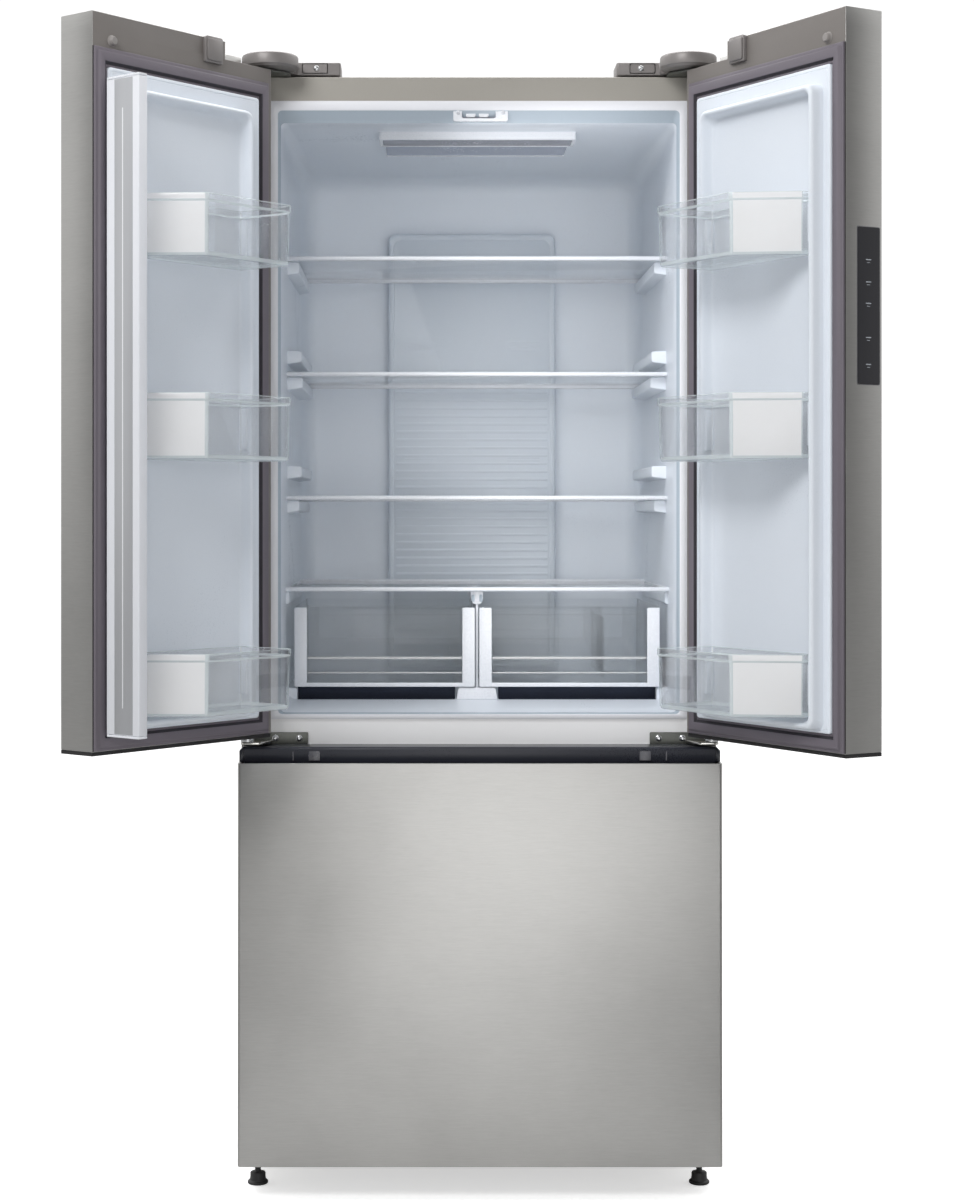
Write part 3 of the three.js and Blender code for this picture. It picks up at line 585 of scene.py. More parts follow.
gasketShape = {"outer": (9, 377, 735, 1757), "inner": (36, 355, 761, 1729),
               "profile": [(0, 0.4), (0, 3.0), (0.05, 4.0), (0.16, 4.4), (0.2, 5.0), (0.24, 8.2),
                           (0.3, 9.0),
                           (0.66, 9.0), (0.72, 8.2), (0.75, 5.4), (0.8, 4.0), (0.86, 3.8), (0.9, 5.2),
                           (0.97, 5.4),
                           (1, 4.6), (1, 0.4)],
               "grooveShade": (9, 10, 11)}


def makeGasket(label, place, body, outer, inner, node, lift=0.0):
    bm = bmesh.new()
    rings = []
    for index, (share, height) in enumerate(gasketShape["profile"]):
        low = (outer[0] + (inner[0] - outer[0]) * share, outer[2] + (inner[2] - outer[2]) * share)
        high = (outer[1] + (inner[1] - outer[1]) * share, outer[3] + (inner[3] - outer[3]) * share)
        # the rings down into the groove are drawn near-black: painted shade
        rings.append((rect(low, high), upright(height + lift), 1 if index in gasketShape["grooveShade"] else 0))
    addLoft(bm, rings, closed=True)
    finishPiece(label, bm, place, ["gasketRubber", "gasketGrooveShade"], body, [node], smooth=50)


doorLiner = {"plate": (36.3, 354.7, 761.3, 1728.7), "free": {-1: 338, 1: 341}, "near": 66, "bottom": 764,
             "top": 1704,
             "corner": 16}


def makeDoorLiner(side, label):
    d = doorLiner
    bm = bmesh.new()
    x0, x1, z0, z1 = d["plate"]
    plate = []
    for inset, height in ((0, 0.4), (0, 7.2), (0.5, 8.1), (1.4, 8.5), (4.5, 8.5), (5.0, 7.9), (5.8, 7.9),
                          (6.3, 8.5),
                          (20, 8.5)):
        points = rounded(rect((x0 + inset, z0 + inset), (x1 - inset, z1 - inset)), 5, 4)
        plate.append((points, upright(height), 0))
    addLoft(bm, plate)
    # raised ridge round the shallow recess
    far = d["free"][side]
    ridge = [(0, 7.5, 16), (0.6, 9.6, 16), (2.4, 24, 16), (3.6, 27.6, 15), (5.6, 29.6, 14), (8.0, 30, 12),
             (10.2, 29.2, 12), (11.6, 27.2, 12), (12.8, 22, 14), (14.6, 12.6, 18), (16.2, 10.2, 20),
             (20, 9.4, 20),
             (40, 9.2, 20)]
    rings = []
    for inset, height, radius in ridge:
        points = rounded(rect((d["near"] + inset, d["bottom"] + inset), (far - inset, d["top"] - inset)),
                         radius, 6)
        rings.append((points, upright(height), 0))
    addLoft(bm, rings)
    # moulded rests that hold the ends of each bin
    for low, high in (binShape["levels"]):
        for x, reach in ((d["near"] + 12.5, 5.5), (far - 17.5, 5.0)):
            addPrism(bm, rounded(rect((x, low + 18), (x + reach, high - 14)), 2.4, 3), upright, 9.2, 25,
                     1.2)
    finishPiece(label + "DoorLiner", bm, doorPlace(side), ["linerWhite"], label + "_door",
                [label + "_door_liner"], smooth=40)


binShape = {"levels": [(1455, 1547), (1159, 1256), (783, 875)], "names": ["upper", "middle", "lower"],
            "outline": [(80, 10), (76, 118), (262, 118), (325, 34), (325, 10)],
            "corners": [3, 10, 12, 8, 3],
            "wall": 2.2}


# Outline pushed inwards by the same distance on every side.
def pushedIn(points, distance):
    result = []
    for index, point in enumerate(points):
        here = Vector(point)
        before = (here - Vector(points[index - 1])).normalized()
        after = (Vector(points[(index + 1) % len(points)]) - here).normalized()
        inward = [Vector((before.y, -before.x)), Vector((after.y, -after.x))]
        bisector = (inward[0] + inward[1]).normalized()
        result.append(here + bisector * (distance / bisector.dot(inward[0])))
    return result


def makeBin(side, label, name, low, high):
    d = binShape
    bm = bmesh.new()
    wall = d["wall"]
    section = [(11, low + 0.3), (6.5, low), (4.6, low + 1.2), (3.2, low + 5), (1.9, high - 12),
               (0.4, high - 10.5),
               (0, high - 9), (0, high - 0.8), (0.5, high), (1.6, high), (wall, high - 0.8),
               (wall + 0.2, high - 9.5), (wall + 1.7, high - 12.6), (wall + 3.2, low + 5 + wall),
               (wall + 5, low + wall + 0.6), (13, low + wall)]
    rings = []
    for inset, height in section:
        radii = [max(r - inset * 0.5, 1.2) for r in d["corners"]]
        rings.append((rounded(pushedIn(d["outline"], inset), radii, 5), level(height), 0))
    addLoft(bm, rings)
    bm.normal_update()
    walls = [(1, 0, 0), (0, 1, 0), (0.8, 0.6, 0), (1, 0.037, 0)]
    for f in bm.faces:
        height = f.calc_center_median().z
        facing = [abs(f.normal.dot(Vector(wall))) for wall in walls]
        # flat faces: the bottom takes the base tint, and the rim is drawn lighter as a painted highlight
        if abs(f.normal.z) > 0.7:
            f.material_index = 3 if height < low + 4 else 2
        # the free end wall drawn near-white: painted glare
        elif facing[2] > 0.985 and height > low + 4:
            f.material_index = 1
        # rounded corners drawn lighter: painted highlight
        elif max(facing) < 0.985:
            f.material_index = 2
    finishPiece(f"{label}{name.capitalize()}Bin", bm, doorPlace(side),
                ["binAcrylic", "frostAndPaintedGlare", "binPaintedEdgeHighlight", "binBase"], f"{label}_{name}_bin",
                [f"{label}_{name}_door_bin"], smooth=40)


doorFittings = {"lug": ((114, 152), (1769, 1809.3), 8.3), "stub": (341, 1769, 7.0)}


def makeDoorFittings(side, label):
    bm = bmesh.new()
    (x0, x1), (z0, z1), reach = doorFittings["lug"]
    addPrism(bm, rounded(rect((x0, z0), (x1, z1)), [2, 2, 4, 4], 3), upright, -0.5, reach - 2.5, 0.8)
    addPrism(bm, rounded(rect((x0 + 3, z0 + 3), (x1 - 3, z1 - 4)), 3, 3), upright, reach - 3, reach, 1.0)
    x, z, reach = doorFittings["stub"]
    addTurned(bm,
              [(0, -0.5), (8.5, -0.5), (8.5, 0.8), (7.2, 1.6), (6.6, 5.2), (5.2, reach), (0, reach + 0.2)],
              (x, 0, z), "y", 1, 28)
    for v in bm.verts:
        if (v.co.x - x) ** 2 + (v.co.z - z) ** 2 < 90:
            v.co.y = -v.co.y
    finishPiece(label + "DoorFittings", bm, doorPlace(side), ["hingeCoverPaint", "bumperRubber"],
                label + "_door")


# Mullion flap
flapShape = {"near": 352, "far": 370, "base": 16, "tip": 87, "bottom": 757.5, "top": 1709,
             "metal": (37, 74.6),
             "groove": (53.2, 55.0), "grooveEnds": (800, 1662)}


def makeFlap():
    d = flapShape
    bm = bmesh.new()
    outline = [(d["near"], d["base"]), (d["far"] - 5, d["base"]), (d["far"], d["base"] + 5),
               (d["far"], d["tip"]),
               (d["near"], d["tip"])]
    addPrism(bm, rounded(outline, [2, 1.5, 1.5, 2.5, 2.5], 3), level, d["bottom"] + 4, d["top"] - 4, 0.5)
    for low, high in ((d["bottom"], d["bottom"] + 3.6), (d["top"] - 3.6, d["top"])):
        addPrism(bm, rounded(outline, [2, 1.5, 1.5, 2.5, 2.5], 3), level, low, high, 0.9, 1)
    n0, n1 = d["metal"]
    g0, g1 = d["groove"]
    addPrism(bm, rect((n0, d["bottom"] + 5), (n1, d["top"] - 5)), across, d["far"] - 0.3, d["far"] + 0.3,
             0.2, 2)
    addPrism(bm, rounded(rect((g0, d["grooveEnds"][0]), (g1, d["grooveEnds"][1])), 0.8, 3), across,
             d["far"] + 0.2, d["far"] + 0.5, 0.1, 3)
    finishPiece("mullionFlap", bm, doorPlace(-1), ["flapWhite", "trimWhite", "flapMetal", "flapGroove"],
                "mullion",
                ["mullion_flap"])


# Control panel
panelShape = {"depths": (-64, -20), "heights": (1265, 1494), "face": 379.45,
              "marks": (0.79, 0.65, 0.515, 0.3, 0.13)}


def makeControlPanel():
    d = panelShape
    bm = bmesh.new()
    (n0, n1), (z0, z1) = d["depths"], d["heights"]
    rings = []
    for inset, x, finish in ((0, 375.6, 1), (0, 379.1, 1), (0.4, 379.4, 1), (1.1, 379.45, 1),
                             (1.2, 379.2, 0),
                             (1.6, 379.3, 0), (2.2, 379.35, 0)):
        points = rounded(rect((n0 + inset, z0 + inset), (n1 - inset, z1 - inset)), 2.5, 4)
        rings.append((points, across(x), finish))
    addLoft(bm, rings)
    middle = (n0 + n1) / 2
    for share in d["marks"]:
        z = z0 + (z1 - z0) * share
        addPrism(bm, rounded(rect((middle - 5, z - 0.8), (middle + 5, z + 0.8)), 0.7, 3), across, 379.3,
                 379.42, 0, 2)
        addPrism(bm, rounded(rect((middle - 3, z - 4.6), (middle + 3, z - 3.8)), 0.35, 2), across, 379.3,
                 379.42, 0, 2)
    finishPiece("controlPanel", bm, doorPlace(1), ["panelGlassBlack", "panelBorder", "markGrey"],
                "right_door",
                ["control_panel"])


# Cabinet
cabinetShape = {"half": 381, "depth": 624, "bottom": 46, "top": 1781, "sheet": 1.2, "rim": 335.8,
                "rimTop": 1740.8}


def makeShell():
    d = cabinetShape
    bm = bmesh.new()
    h = d["half"]
    # side and top sheets as one folded wrap, then the front rim
    outer = rounded(rect((-h, d["bottom"]), (h, d["top"])), [0.6, 0.6, 3, 3], 4)
    inner = rounded(rect((-h + d["sheet"], d["bottom"] - 0.01), (h - d["sheet"], d["top"] - d["sheet"])),
                    [0.4, 0.4, 2, 2], 4)
    addLoft(bm, [(outer, upright(1.2), 0), (outer, upright(d["depth"]), 0), (inner, upright(d["depth"]), 0),
                 (inner, upright(1.3), 0)], caps=(False, False))
    rim = rounded(rect((-d["rim"], d["bottom"] - 0.01), (d["rim"], d["rimTop"])), [0.4, 0.4, 1, 1], 4)
    hem = rounded(rect((-h + 1, d["bottom"]), (h - 1, d["top"] - 1)), [0.6, 0.6, 2.4, 2.4], 4)
    addLoft(bm,
            [(outer, upright(1.2), 1), (hem, upright(0.05), 1), (rim, upright(0.05), 1),
             (rim, upright(1.4), 1),
                 (inner, upright(1.4), 1)], caps=(False, False))
    bmesh.ops.remove_doubles(bm, verts=bm.verts, dist=0.12)
    finishPiece("cabinetWrap", bm, cabinetPlace, ["sidePaint", "topFlangePaint"], "cabinet",
                ["cabinet_shell"])


linerShape = {"wall": 2.2, "back": 559}


def makeFridgeLiner():
    d = linerShape
    bm = bmesh.new()
    # (half width, floor, ceiling, corner radius, depth, finish)
    profile = [
        (335.5, 752.8, 1740.5, 3, 1.9, 1), (335.5, 752.8, 1740.5, 3, 0.5, 1),
        (334.9, 753.4, 1739.9, 3, 0.05, 1),
        (325.2, 756.2, 1729.6, 9, 0.05, 1), (324.2, 756.6, 1728.4, 9, 0.7, 1),
        # the chamfer behind the front flange takes finish 2, drawn grey-blue: painted shade
        (321.4, 757.4, 1716, 10, 11.4, 2),
        (320.9, 757.8, 1712.4, 10, 13.2, 2), (321.3, 757.2, 1713.2, 11, 14.4, 1),
        (321.0, 757.6, 1711.8, 12, 16.2, 1),
        (320.2, 758.4, 1710.6, 14, 19, 0), (319.6, 763.0, 1709.4, 16, 60, 0),
        (319.2, 769.3, 1708.6, 20, 104, 0),
        (318.4, 771.0, 1706.8, 26, 250, 0), (316.6, 771.0, 1703.2, 34, 505, 0),
        (314.6, 773.0, 1701.2, 38, 528, 0),
        (308.0, 780.0, 1694.8, 40, 546, 0), (299.0, 789.0, 1685.8, 40, 555.5, 0),
        (286.0, 802.0, 1673.0, 36, 558.8, 0),
    ]
    rings = []
    for half, floor, ceiling, radius, depth, finish in profile:
        points = rounded(rect((-half, floor), (half, ceiling)), radius, 8)
        rings.append((points, upright(depth), finish))
    addLoft(bm, rings, caps=(False, True))
    bmesh.ops.recalc_face_normals(bm, faces=bm.faces)
    bmesh.ops.solidify(bm, geom=list(bm.faces), thickness=d["wall"])
    finishPiece("fridgeLiner", bm, cabinetPlace, ["linerWhite", "flangeWhite", "chamferShadeAndGreyTabs"], "cabinet",
                ["fridge_liner"], smooth=45)
    # moulded rests on both side walls
    bm = bmesh.new()
    for side in (-1, 1):
        for low, high, reach, front, back in ledgeShape:
            wall, tip = side * 320.5, side * (320.5 - reach)
            section = [(wall, low - 4), (tip, low), (tip, high), (wall, high + 1)]
            points = rounded(section, [0.6, 3, 3, 0.6], 3)
            addPrism(bm, points, upright, front, back, 1.6, 0, 3)
    finishPiece("sideRests", bm, cabinetPlace, ["linerWhite"], "cabinet", smooth=45)


# Insulation between the outer sheets and the liners, drawn back from the food compartment's moulded mouth.
# metres: how far the front of the foam stands back, and how deep that front is
foamShape = {"setBack": 0.02, "frontBand": 0.006}


def makeFoam():
    bm = bmesh.new()
    bm.from_mesh(nodes["foam_core"].data)
    low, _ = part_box("foam_core")
    front = [v for v in bm.verts if v.co.y < low.y + foamShape["frontBand"]]
    bmesh.ops.translate(bm, verts=front, vec=(0, foamShape["setBack"], 0))
    finishPiece("foamCore", bm, Matrix.Identity(4), ["foamYellow"], "cabinet", ["foam_core"])


# rests: bottom, top, how far they stand out, front and back
ledgeShape = [
    (1483, 1501, 24, 152, 486), (1334, 1352, 28, 150, 486), (1291, 1308.5, 30, 152, 486),
    (1142, 1160, 28, 150, 486), (1085, 1102.5, 24, 152, 486), (932, 951, 9, 124, 496),
    (768, 791, 22, 128, 498),
]


# ridges across the front of the compartment floor, and a near-black plate and upright sheet under each
# crisper: painted shade for the gap beneath it
linerFloor = {"rows": 4, "first": 34, "pitch": 18, "deep": 8, "reach": (30, 285), "bottom": 757.5,
              "top": 761.9,
              "climb": 2.3, "recess": (36, 300), "shadeWall": (150, 158)}


def makeLinerFloor():
    d = linerFloor
    bm = bmesh.new()
    for side in (-1, 1):
        for row in range(d["rows"]):
            y = d["first"] + row * d["pitch"]
            x = sorted(side * end for end in d["reach"])
            addPrism(bm, rounded(rect((x[0], y), (x[1], y + d["deep"])), 3.2, 4), level, d["bottom"],
                     d["top"] + row * d["climb"], 1.4)
    addPrism(bm, rounded(rect((-318, 110), (318, 520)), 10, 4), level, 765, 771.4, 1.5)
    for side in (-1, 1):
        # painted shade: a near-black plate on the floor and a near-black upright sheet under the crisper
        xs = sorted(side * end for end in d["recess"])
        addPrism(bm, rounded(rect((xs[0], 128), (xs[1], 508)), 6, 4), level, 770, 772.2, 0.5, 1)
        addPrism(bm, rounded(rect((xs[0], d["shadeWall"][0]), (xs[1], d["shadeWall"][1])), 1, 2), level, 771, 790.5,
                 0.6, 1)
    finishPiece("floorRibs", bm, cabinetPlace, ["linerWhite", "underCrisperShade"], "cabinet",
                smooth=45)


railShape = {"half": 335.5, "bottom": 706, "top": 752.4}


def makeRail():
    d = railShape
    bm = bmesh.new()
    rings = []
    for inset, depth in ((0, 1.9), (0, 0.6), (0.6, 0.0), (3.0, 0.0), (3.6, 0.45), (8, 0.45)):
        points = rounded(rect((-d["half"] + inset, d["bottom"] + inset),
                              (d["half"] - inset, d["top"] - inset)), 2, 3)
        rings.append((points, upright(depth), 0))
    addLoft(bm, rings)
    finishPiece("crossRail", bm, cabinetPlace, ["railPaintedLightWhite"], "cabinet", ["cross_rail"])


# Inside
ductShape = {"half": 153.6, "bottom": 800, "top": 1596, "front": 525, "back": 558.6}


def makeDuct():
    d = ductShape
    bm = bmesh.new()
    rings = []
    for inset, depth in ((0, d["back"]), (0, 531), (1.0, 527), (3.4, 525.2), (9, 525), (9.8, 525.8),
                         (11.2, 525.8),
                         (12, 525)):
        points = rounded(rect((-d["half"] + inset, d["bottom"] + inset),
                              (d["half"] - inset, d["top"] - inset)),
                         [4, 4, 15, 15], 6)
        rings.append((points, upright(depth), 0))
    addLoft(bm, rings)
    for row in range(24):
        z = 968 + row * 14.5
        if abs(z - 1107) > 8:
            addPrism(bm, rounded(rect((-140, z), (140, z + 5)), 2.4, 3), upright, 525.4, 523.9, 0.6, 0, 2)
    for z in (1180, 1390, 1545):
        for side in (-1, 1):
            x = side * 95
            for k in range(4):
                addPrism(bm, rounded(rect((x - 30, z - 8 + k * 5), (x + 30, z - 5.6 + k * 5)), 1.1, 2),
                         upright,
                         525.3, 524.2, 0, 0)
    finishPiece("airDuctCover", bm, cabinetPlace, ["ductWhite", "greyPlastic"], "cabinet",
                ["air_duct_cover"], smooth=40)


lampShape = {"front": (162, 79, 153), "rear": (152, 156, 254), "face": 1694, "top": 1709}


def makeLamp():
    d = lampShape
    bm = bmesh.new()
    half, y0, y1 = d["front"]
    rings = []
    for inset, z, finish in ((0, d["top"], 0), (0, d["face"] + 2, 0), (0.8, d["face"] + 0.3, 0),
                             (2, d["face"], 0),
                             (5.6, d["face"], 0), (6.2, d["face"] + 0.8, 0), (6.4, d["face"] + 1.8, 1),
                             (8, d["face"] + 1.2, 1)):
        points = rounded(rect((-half + inset, y0 + inset), (half - inset, y1 - inset)), 5, 4)
        rings.append((points, level(z), finish))
    addLoft(bm, rings)
    half, y0, y1 = d["rear"]
    rings = []
    for inset, z, finish in ((0, d["top"], 2), (0, d["face"] + 3, 2), (2, d["face"] + 1.6, 2),
                             (10, d["face"] + 1.2, 2)):
        points = rounded(rect((-half + inset, y0 + inset), (half - inset, y1 - inset)), 5, 4)
        rings.append((points, level(z), finish))
    addLoft(bm, rings)
    addPrism(bm, rounded(rect((-half, y1 - 3), (half, y1 + 2)), 1.5, 3), level, d["face"] + 0.4, d["top"],
             0.5, 0)
    finishPiece("ceilingLamp", bm, cabinetPlace, ["trimWhite", "lensGrey", "lensBlue"], "cabinet",
                ["ceiling_lamp"], smooth=40)


def makeGuide():
    bm = bmesh.new()
    # outer block with its slot, built as a loft that turns inwards at the front
    outer = rounded(rect((-41, 1710.4), (47, 1738.3)), 3, 4)
    rings = [(outer, upright(54.5), 0), (outer, upright(0.3), 0)]
    rings.append((rounded(rect((-40.4, 1711), (46.4, 1737.7)), 2.6, 4), upright(-0.3), 0))
    rings.append((rounded(rect((-27.6, 1714.4), (27.6, 1727.6)), 3.4, 4), upright(-0.3), 0))
    rings.append((rounded(rect((-27, 1715), (27, 1727)), 3.2, 4), upright(0.4), 0))
    rings.append((rounded(rect((-26.6, 1715.4), (26.6, 1726.6)), 3.2, 4), upright(7), 2))
    addLoft(bm, rings)
    for x in (-13, 8):
        addPrism(bm, rounded(rect((x - 8, 1717), (x + 8, 1725)), 3.4, 4), upright, 2.6, 8, 0.5, 0)
    for x in (-33.5, 38.5):
        addScrew(bm, (x, -0.2, 1724), "y", 3.2, 0, 1)
    finishPiece("mullionGuide", bm, cabinetPlace, ["trimWhite", "chamferShadeAndGreyTabs", "lensGrey"], "cabinet",
                ["mullion_guide"], smooth=40)


shelfShape = {"half": 317, "front": 132, "back": 498,
              "levels": {"upper": 1505.6, "middle": 1313, "lower": 1107}}


def makeShelf(name, height, front, back, half, body, node):
    bm = bmesh.new()
    # glass
    addPrism(bm, rounded(rect((-half + 2, front + 9), (half - 2, back - 9)), 3, 3), level, height - 1.9,
             height + 1.9,
             0.7, 0)
    # front trim with a rolled edge, open groove behind for the glass
    nose = rounded([(front, height - 3.5), (front + 12, height - 3.5), (front + 12, height + 3.5),
                    (front, height + 3.5)],
                   [2.8, 0.6, 0.6, 2.8], 4)
    addPrism(bm, nose, across, -half, half, 0.8, 1)
    rear = rounded([(back - 10, height - 3.5), (back, height - 3.5), (back, height + 6),
                    (back - 3, height + 6),
                    (back - 4, height + 3.4), (back - 10, height + 3.4)], [0.6, 0.6, 1.4, 1.2, 0.6, 0.6], 3)
    addPrism(bm, rear, across, -half, half, 0.6, 1)
    for side in (-1, 1):
        ends = sorted((side * (half - 5), side * half))
        addPrism(bm, rect((ends[0], front + 11.8), (ends[1], back - 9.8)), level, height - 2.6,
                 height + 2.6, 0.7, 1)
    finishPiece(name, bm, cabinetPlace, ["shelfGlass", "trimWhite"], body, [node], smooth=40)


def makeCrisperSupport():
    bm = bmesh.new()
    addPrism(bm, rounded(rect((-2, 760), (2, 951)), 0.5, 2), upright, 130, 488, 0.3)
    # front post flares into the clip under the glass and into the foot
    clip = [(-10, 951.2), (-10, 940), (-6.5, 930.5), (6.5, 930.5), (10, 940), (10, 951.2)]
    addPrism(bm, rounded(clip, [0.6, 3, 2, 2, 3, 0.6], 4), upright, 126, 488, 0.8)
    foot = [(-34, 771.9), (-31, 791.6), (31, 791.6), (34, 771.9)]
    addPrism(bm, rounded(foot, [1, 5, 5, 1], 4), upright, 126, 488, 1.0)
    for side in (-1, 1):
        addPrism(bm,
                 rounded(rect(sorted((side * 4, side * 9))[:1] + [934],
                              sorted((side * 4, side * 9))[1:] + [946]),
                             1.2, 3), upright, 125.2, 127, 0.3, 1)
    finishPiece("crisperSupport", bm, cabinetPlace, ["trimWhite", "chamferShadeAndGreyTabs"], "cabinet",
                ["crisper_support"], smooth=40)


crisperShape = {"inner": 3.4, "outer": 303.4, "front": 122, "back": 500, "bottom": 793, "top": 926,
                "wall": 2.2}


def makeCrisper(side, label):
    d = crisperShape
    bm = bmesh.new()
    x0, x1 = sorted((side * d["inner"], side * d["outer"]))
    low, high, wall = d["bottom"], d["top"], d["wall"]
    section = [(12, low + 0.4), (5.5, low + 0.1), (3.4, low + 1.6), (2.6, low + 6), (1.4, high - 14),
               (0.1, high - 12.6),
               (0, high - 11.6), (0, high - 0.7), (0.5, high), (1.6, high), (wall, high - 0.8),
               (wall, high - 11.8),
               (wall + 1.6, high - 14.2), (wall + 2.8, low + 8), (wall + 4.4, low + wall + 1.2),
               (wall + 12, low + wall + 0.4)]
    rings = []
    for inset, z in section:
        points = rounded(rect((x0 + inset, d["front"] + inset), (x1 - inset, d["back"] - inset)),
                         max(8 - inset * 0.4, 3), 5)
        rings.append((points, level(z), 0))
    addLoft(bm, rings)
    # grip ledge across the front, standing inside the rim
    ledge = [(d["front"] + 3.6, 838.5), (d["front"] + 14, 838.5), (d["front"] + 14, 842.5),
             (d["front"] + 3.6, 842.5)]
    addPrism(bm, rounded(ledge, 1.2, 3), across, x0 + 22, x1 - 22, 0.5, 2)
    thin = [(d["front"] + 3.4, 815), (d["front"] + 6.4, 815), (d["front"] + 6.4, 817.4),
            (d["front"] + 3.4, 817.4)]
    addPrism(bm, rounded(thin, 0.8, 2), across, x0 + 22, x1 - 22, 0.3, 2)
    # white front frame: a post at each end and the lower band
    for near, far in ((x0 + 0.3, x0 + 21), (x1 - 21, x1 - 0.3)):
        addPrism(bm, rounded(rect((near, low + 0.2), (far, high - 1.5)), 2.2, 3), upright, d["front"] - 0.2,
                 d["front"] + 2.4, 0.8, 1)
    addPrism(bm, rounded(rect((x0 + 20, low + 0.2), (x1 - 20, low + 7)), 1.4, 3), upright, d["front"] - 0.1,
             d["front"] + 2.4, 0.8, 1)
    if side > 0:
        addPrism(bm, rounded(rect((213, 806), (215.4, 905)), 1, 3), upright, 180, 470, 0.5, 0)
    finishPiece(label + "Crisper", bm, cabinetPlace, ["crisperAcrylic", "trimWhite", "frostAndPaintedGlare"],
                label + "_crisper_body",
                [label + "_crisper"], smooth=40)


# Hinges
def makeHinges(side, label):
    def spot(x):
        return side * x

    bm = bmesh.new()
    disc = [(0, 1786), (38, 1786), (41.5, 1787), (43.5, 1789.6), (44.8, 1790.4), (45, 1792), (45, 1804.5),
            (43.8, 1807.2), (41, 1808.8), (36, 1809), (0, 1809)]
    addTurned(bm, disc, (spot(333), -28, 0), "z", 0, 64)
    arm = rounded([(spot(370), -26), (spot(370), 73.5), (spot(222), 73.5), (spot(222), 9), (spot(292), 9),
                   (spot(300), -14)], [3, 6, 6, 3, 3, 6], 4)
    addPrism(bm, arm, level, 1785.4, 1806, 1.6, 0, 3)
    # screw pocket let into the front of the box
    xs = sorted((spot(244), spot(283)))
    pocket = []
    for inset, y in ((-1.2, 8.3), (0, 8.3), (0.6, 9.0), (1.4, 9.2)):
        points = rounded(rect((xs[0] + inset, 1789.5 + inset), (xs[1] - inset, 1803.5 - inset)), 1.6, 3)
        pocket.append((points, upright(y), 0 if inset < 0.5 else 1))
    addLoft(bm, pocket)
    addScrew(bm, (spot(261), 8.2, 1796.5), "y", 4.6, 2, 1)
    finishPiece(label + "HingeCover", bm, cabinetPlace, ["hingeCoverPaint", "doorBand", "screwSteel"],
                "cabinet",
                [label + "_hinge_cover"], smooth=35)

    bm = bmesh.new()
    plate = rounded([(spot(376), -58), (spot(376), 69), (spot(302), 69), (spot(302), -20),
                     (spot(340), -58)],
                    [9, 4, 4, 6, 9], 5)
    addPrism(bm, plate, level, 1781.3, 1784.6, 0.6, 0)
    addTurned(bm, [(0, 1756), (5, 1756), (6, 1757), (6, 1782), (0, 1782)], (spot(367.5), -48.5, 0), "z", 1,
              24)
    finishPiece(label + "TopHinge", bm, cabinetPlace, ["hingeSteel", "pinChrome"], "cabinet",
                [label + "_top_hinge"], smooth=35)

    bm = bmesh.new()
    xs = sorted((spot(376), spot(274)))
    addPrism(bm, rounded(rect((xs[0], 707.2), (xs[1], 729.8)), 1.6, 3), upright, -1.5, -4.5, 0.6, 0)
    arm = rounded([(spot(330), -3), (spot(330), -24), (spot(345), -60), (spot(378), -60), (spot(378), -3)],
                  [1, 8, 9, 9, 1], 5)
    addPrism(bm, arm, level, 715, 719, 1.0, 1, 3)
    fold = rounded([(-4.4, 711), (-2, 711), (-2, 721), (-4.4, 721)], 0.5, 2)
    addPrism(bm, fold, across, *sorted((spot(330), spot(376))), 0.4, 1)
    for x in (288, 326):
        addScrew(bm, (spot(x), -4.4, 720.5), "y", 5.2, 2, 1)
    addTurned(bm,
              [(0, 718.5), (10, 718.5), (10.4, 719.2), (10.4, 725.8), (9.6, 727), (6, 727.1), (6, 750),
               (4.6, 751.6),
                   (0, 751.6)], (spot(367.5), -48.5, 0), "z", 2, 32)
    finishPiece(label + "MiddleHinge", bm, cabinetPlace, ["hingeSteel", "pinChrome", "screwSteel"],
                "cabinet",
                [label + "_middle_hinge"], smooth=35)


# Freezer drawer
drawerShape = {"half": 381, "front": -80, "back": -10, "bottom": 54, "top": 688, "corner": 5}


def makeDrawer():
    d = drawerShape
    bm = bmesh.new()
    h, c = d["half"], d["corner"]

    def ring(x, y0, y1, radii, z, finish):
        return rounded([(-x, y1), (-x, y0), (x, y0), (x, y1)], radii, 5), level(z), finish

    outer = [0.9, c, c, 0.9]
    rings = [
        ring(h - 1, d["front"] + 1, d["back"] - 1, [0.5, c - 1, c - 1, 0.5], d["bottom"], 0),
        ring(h - 0.25, d["front"] + 0.25, d["back"] - 0.25, outer, d["bottom"] + 0.3, 0),
        ring(h, d["front"], d["back"], outer, d["bottom"] + 1, 0),
        ring(h, d["front"], d["back"], outer, d["top"] - 1, 0),
        ring(h - 0.25, d["front"] + 0.25, d["back"] - 0.25, outer, d["top"] - 0.3, 0),
        ring(h - 1, d["front"] + 1, d["back"] - 1, [0.5, c - 1, c - 1, 0.5], d["top"], 0),
        ring(376.4, d["front"] + 4.6, d["back"] - 11.6, 1, d["top"], 0),
        ring(376, d["front"] + 5, d["back"] - 12, 1, d["top"] - 0.5, 1),
        ring(376, d["front"] + 5, d["back"] - 12, 1, 656, 1),
    ]
    addLoft(bm, rings)
    bm.normal_update()
    for f in bm.faces:
        if f.calc_center_median().y > d["back"] - 1.2:
            f.material_index = 1
    finishPiece("drawerFront", bm, cabinetPlace, ["brushedSteel", "doorBand"], "freezer_drawer",
                ["freezer_drawer_front"])


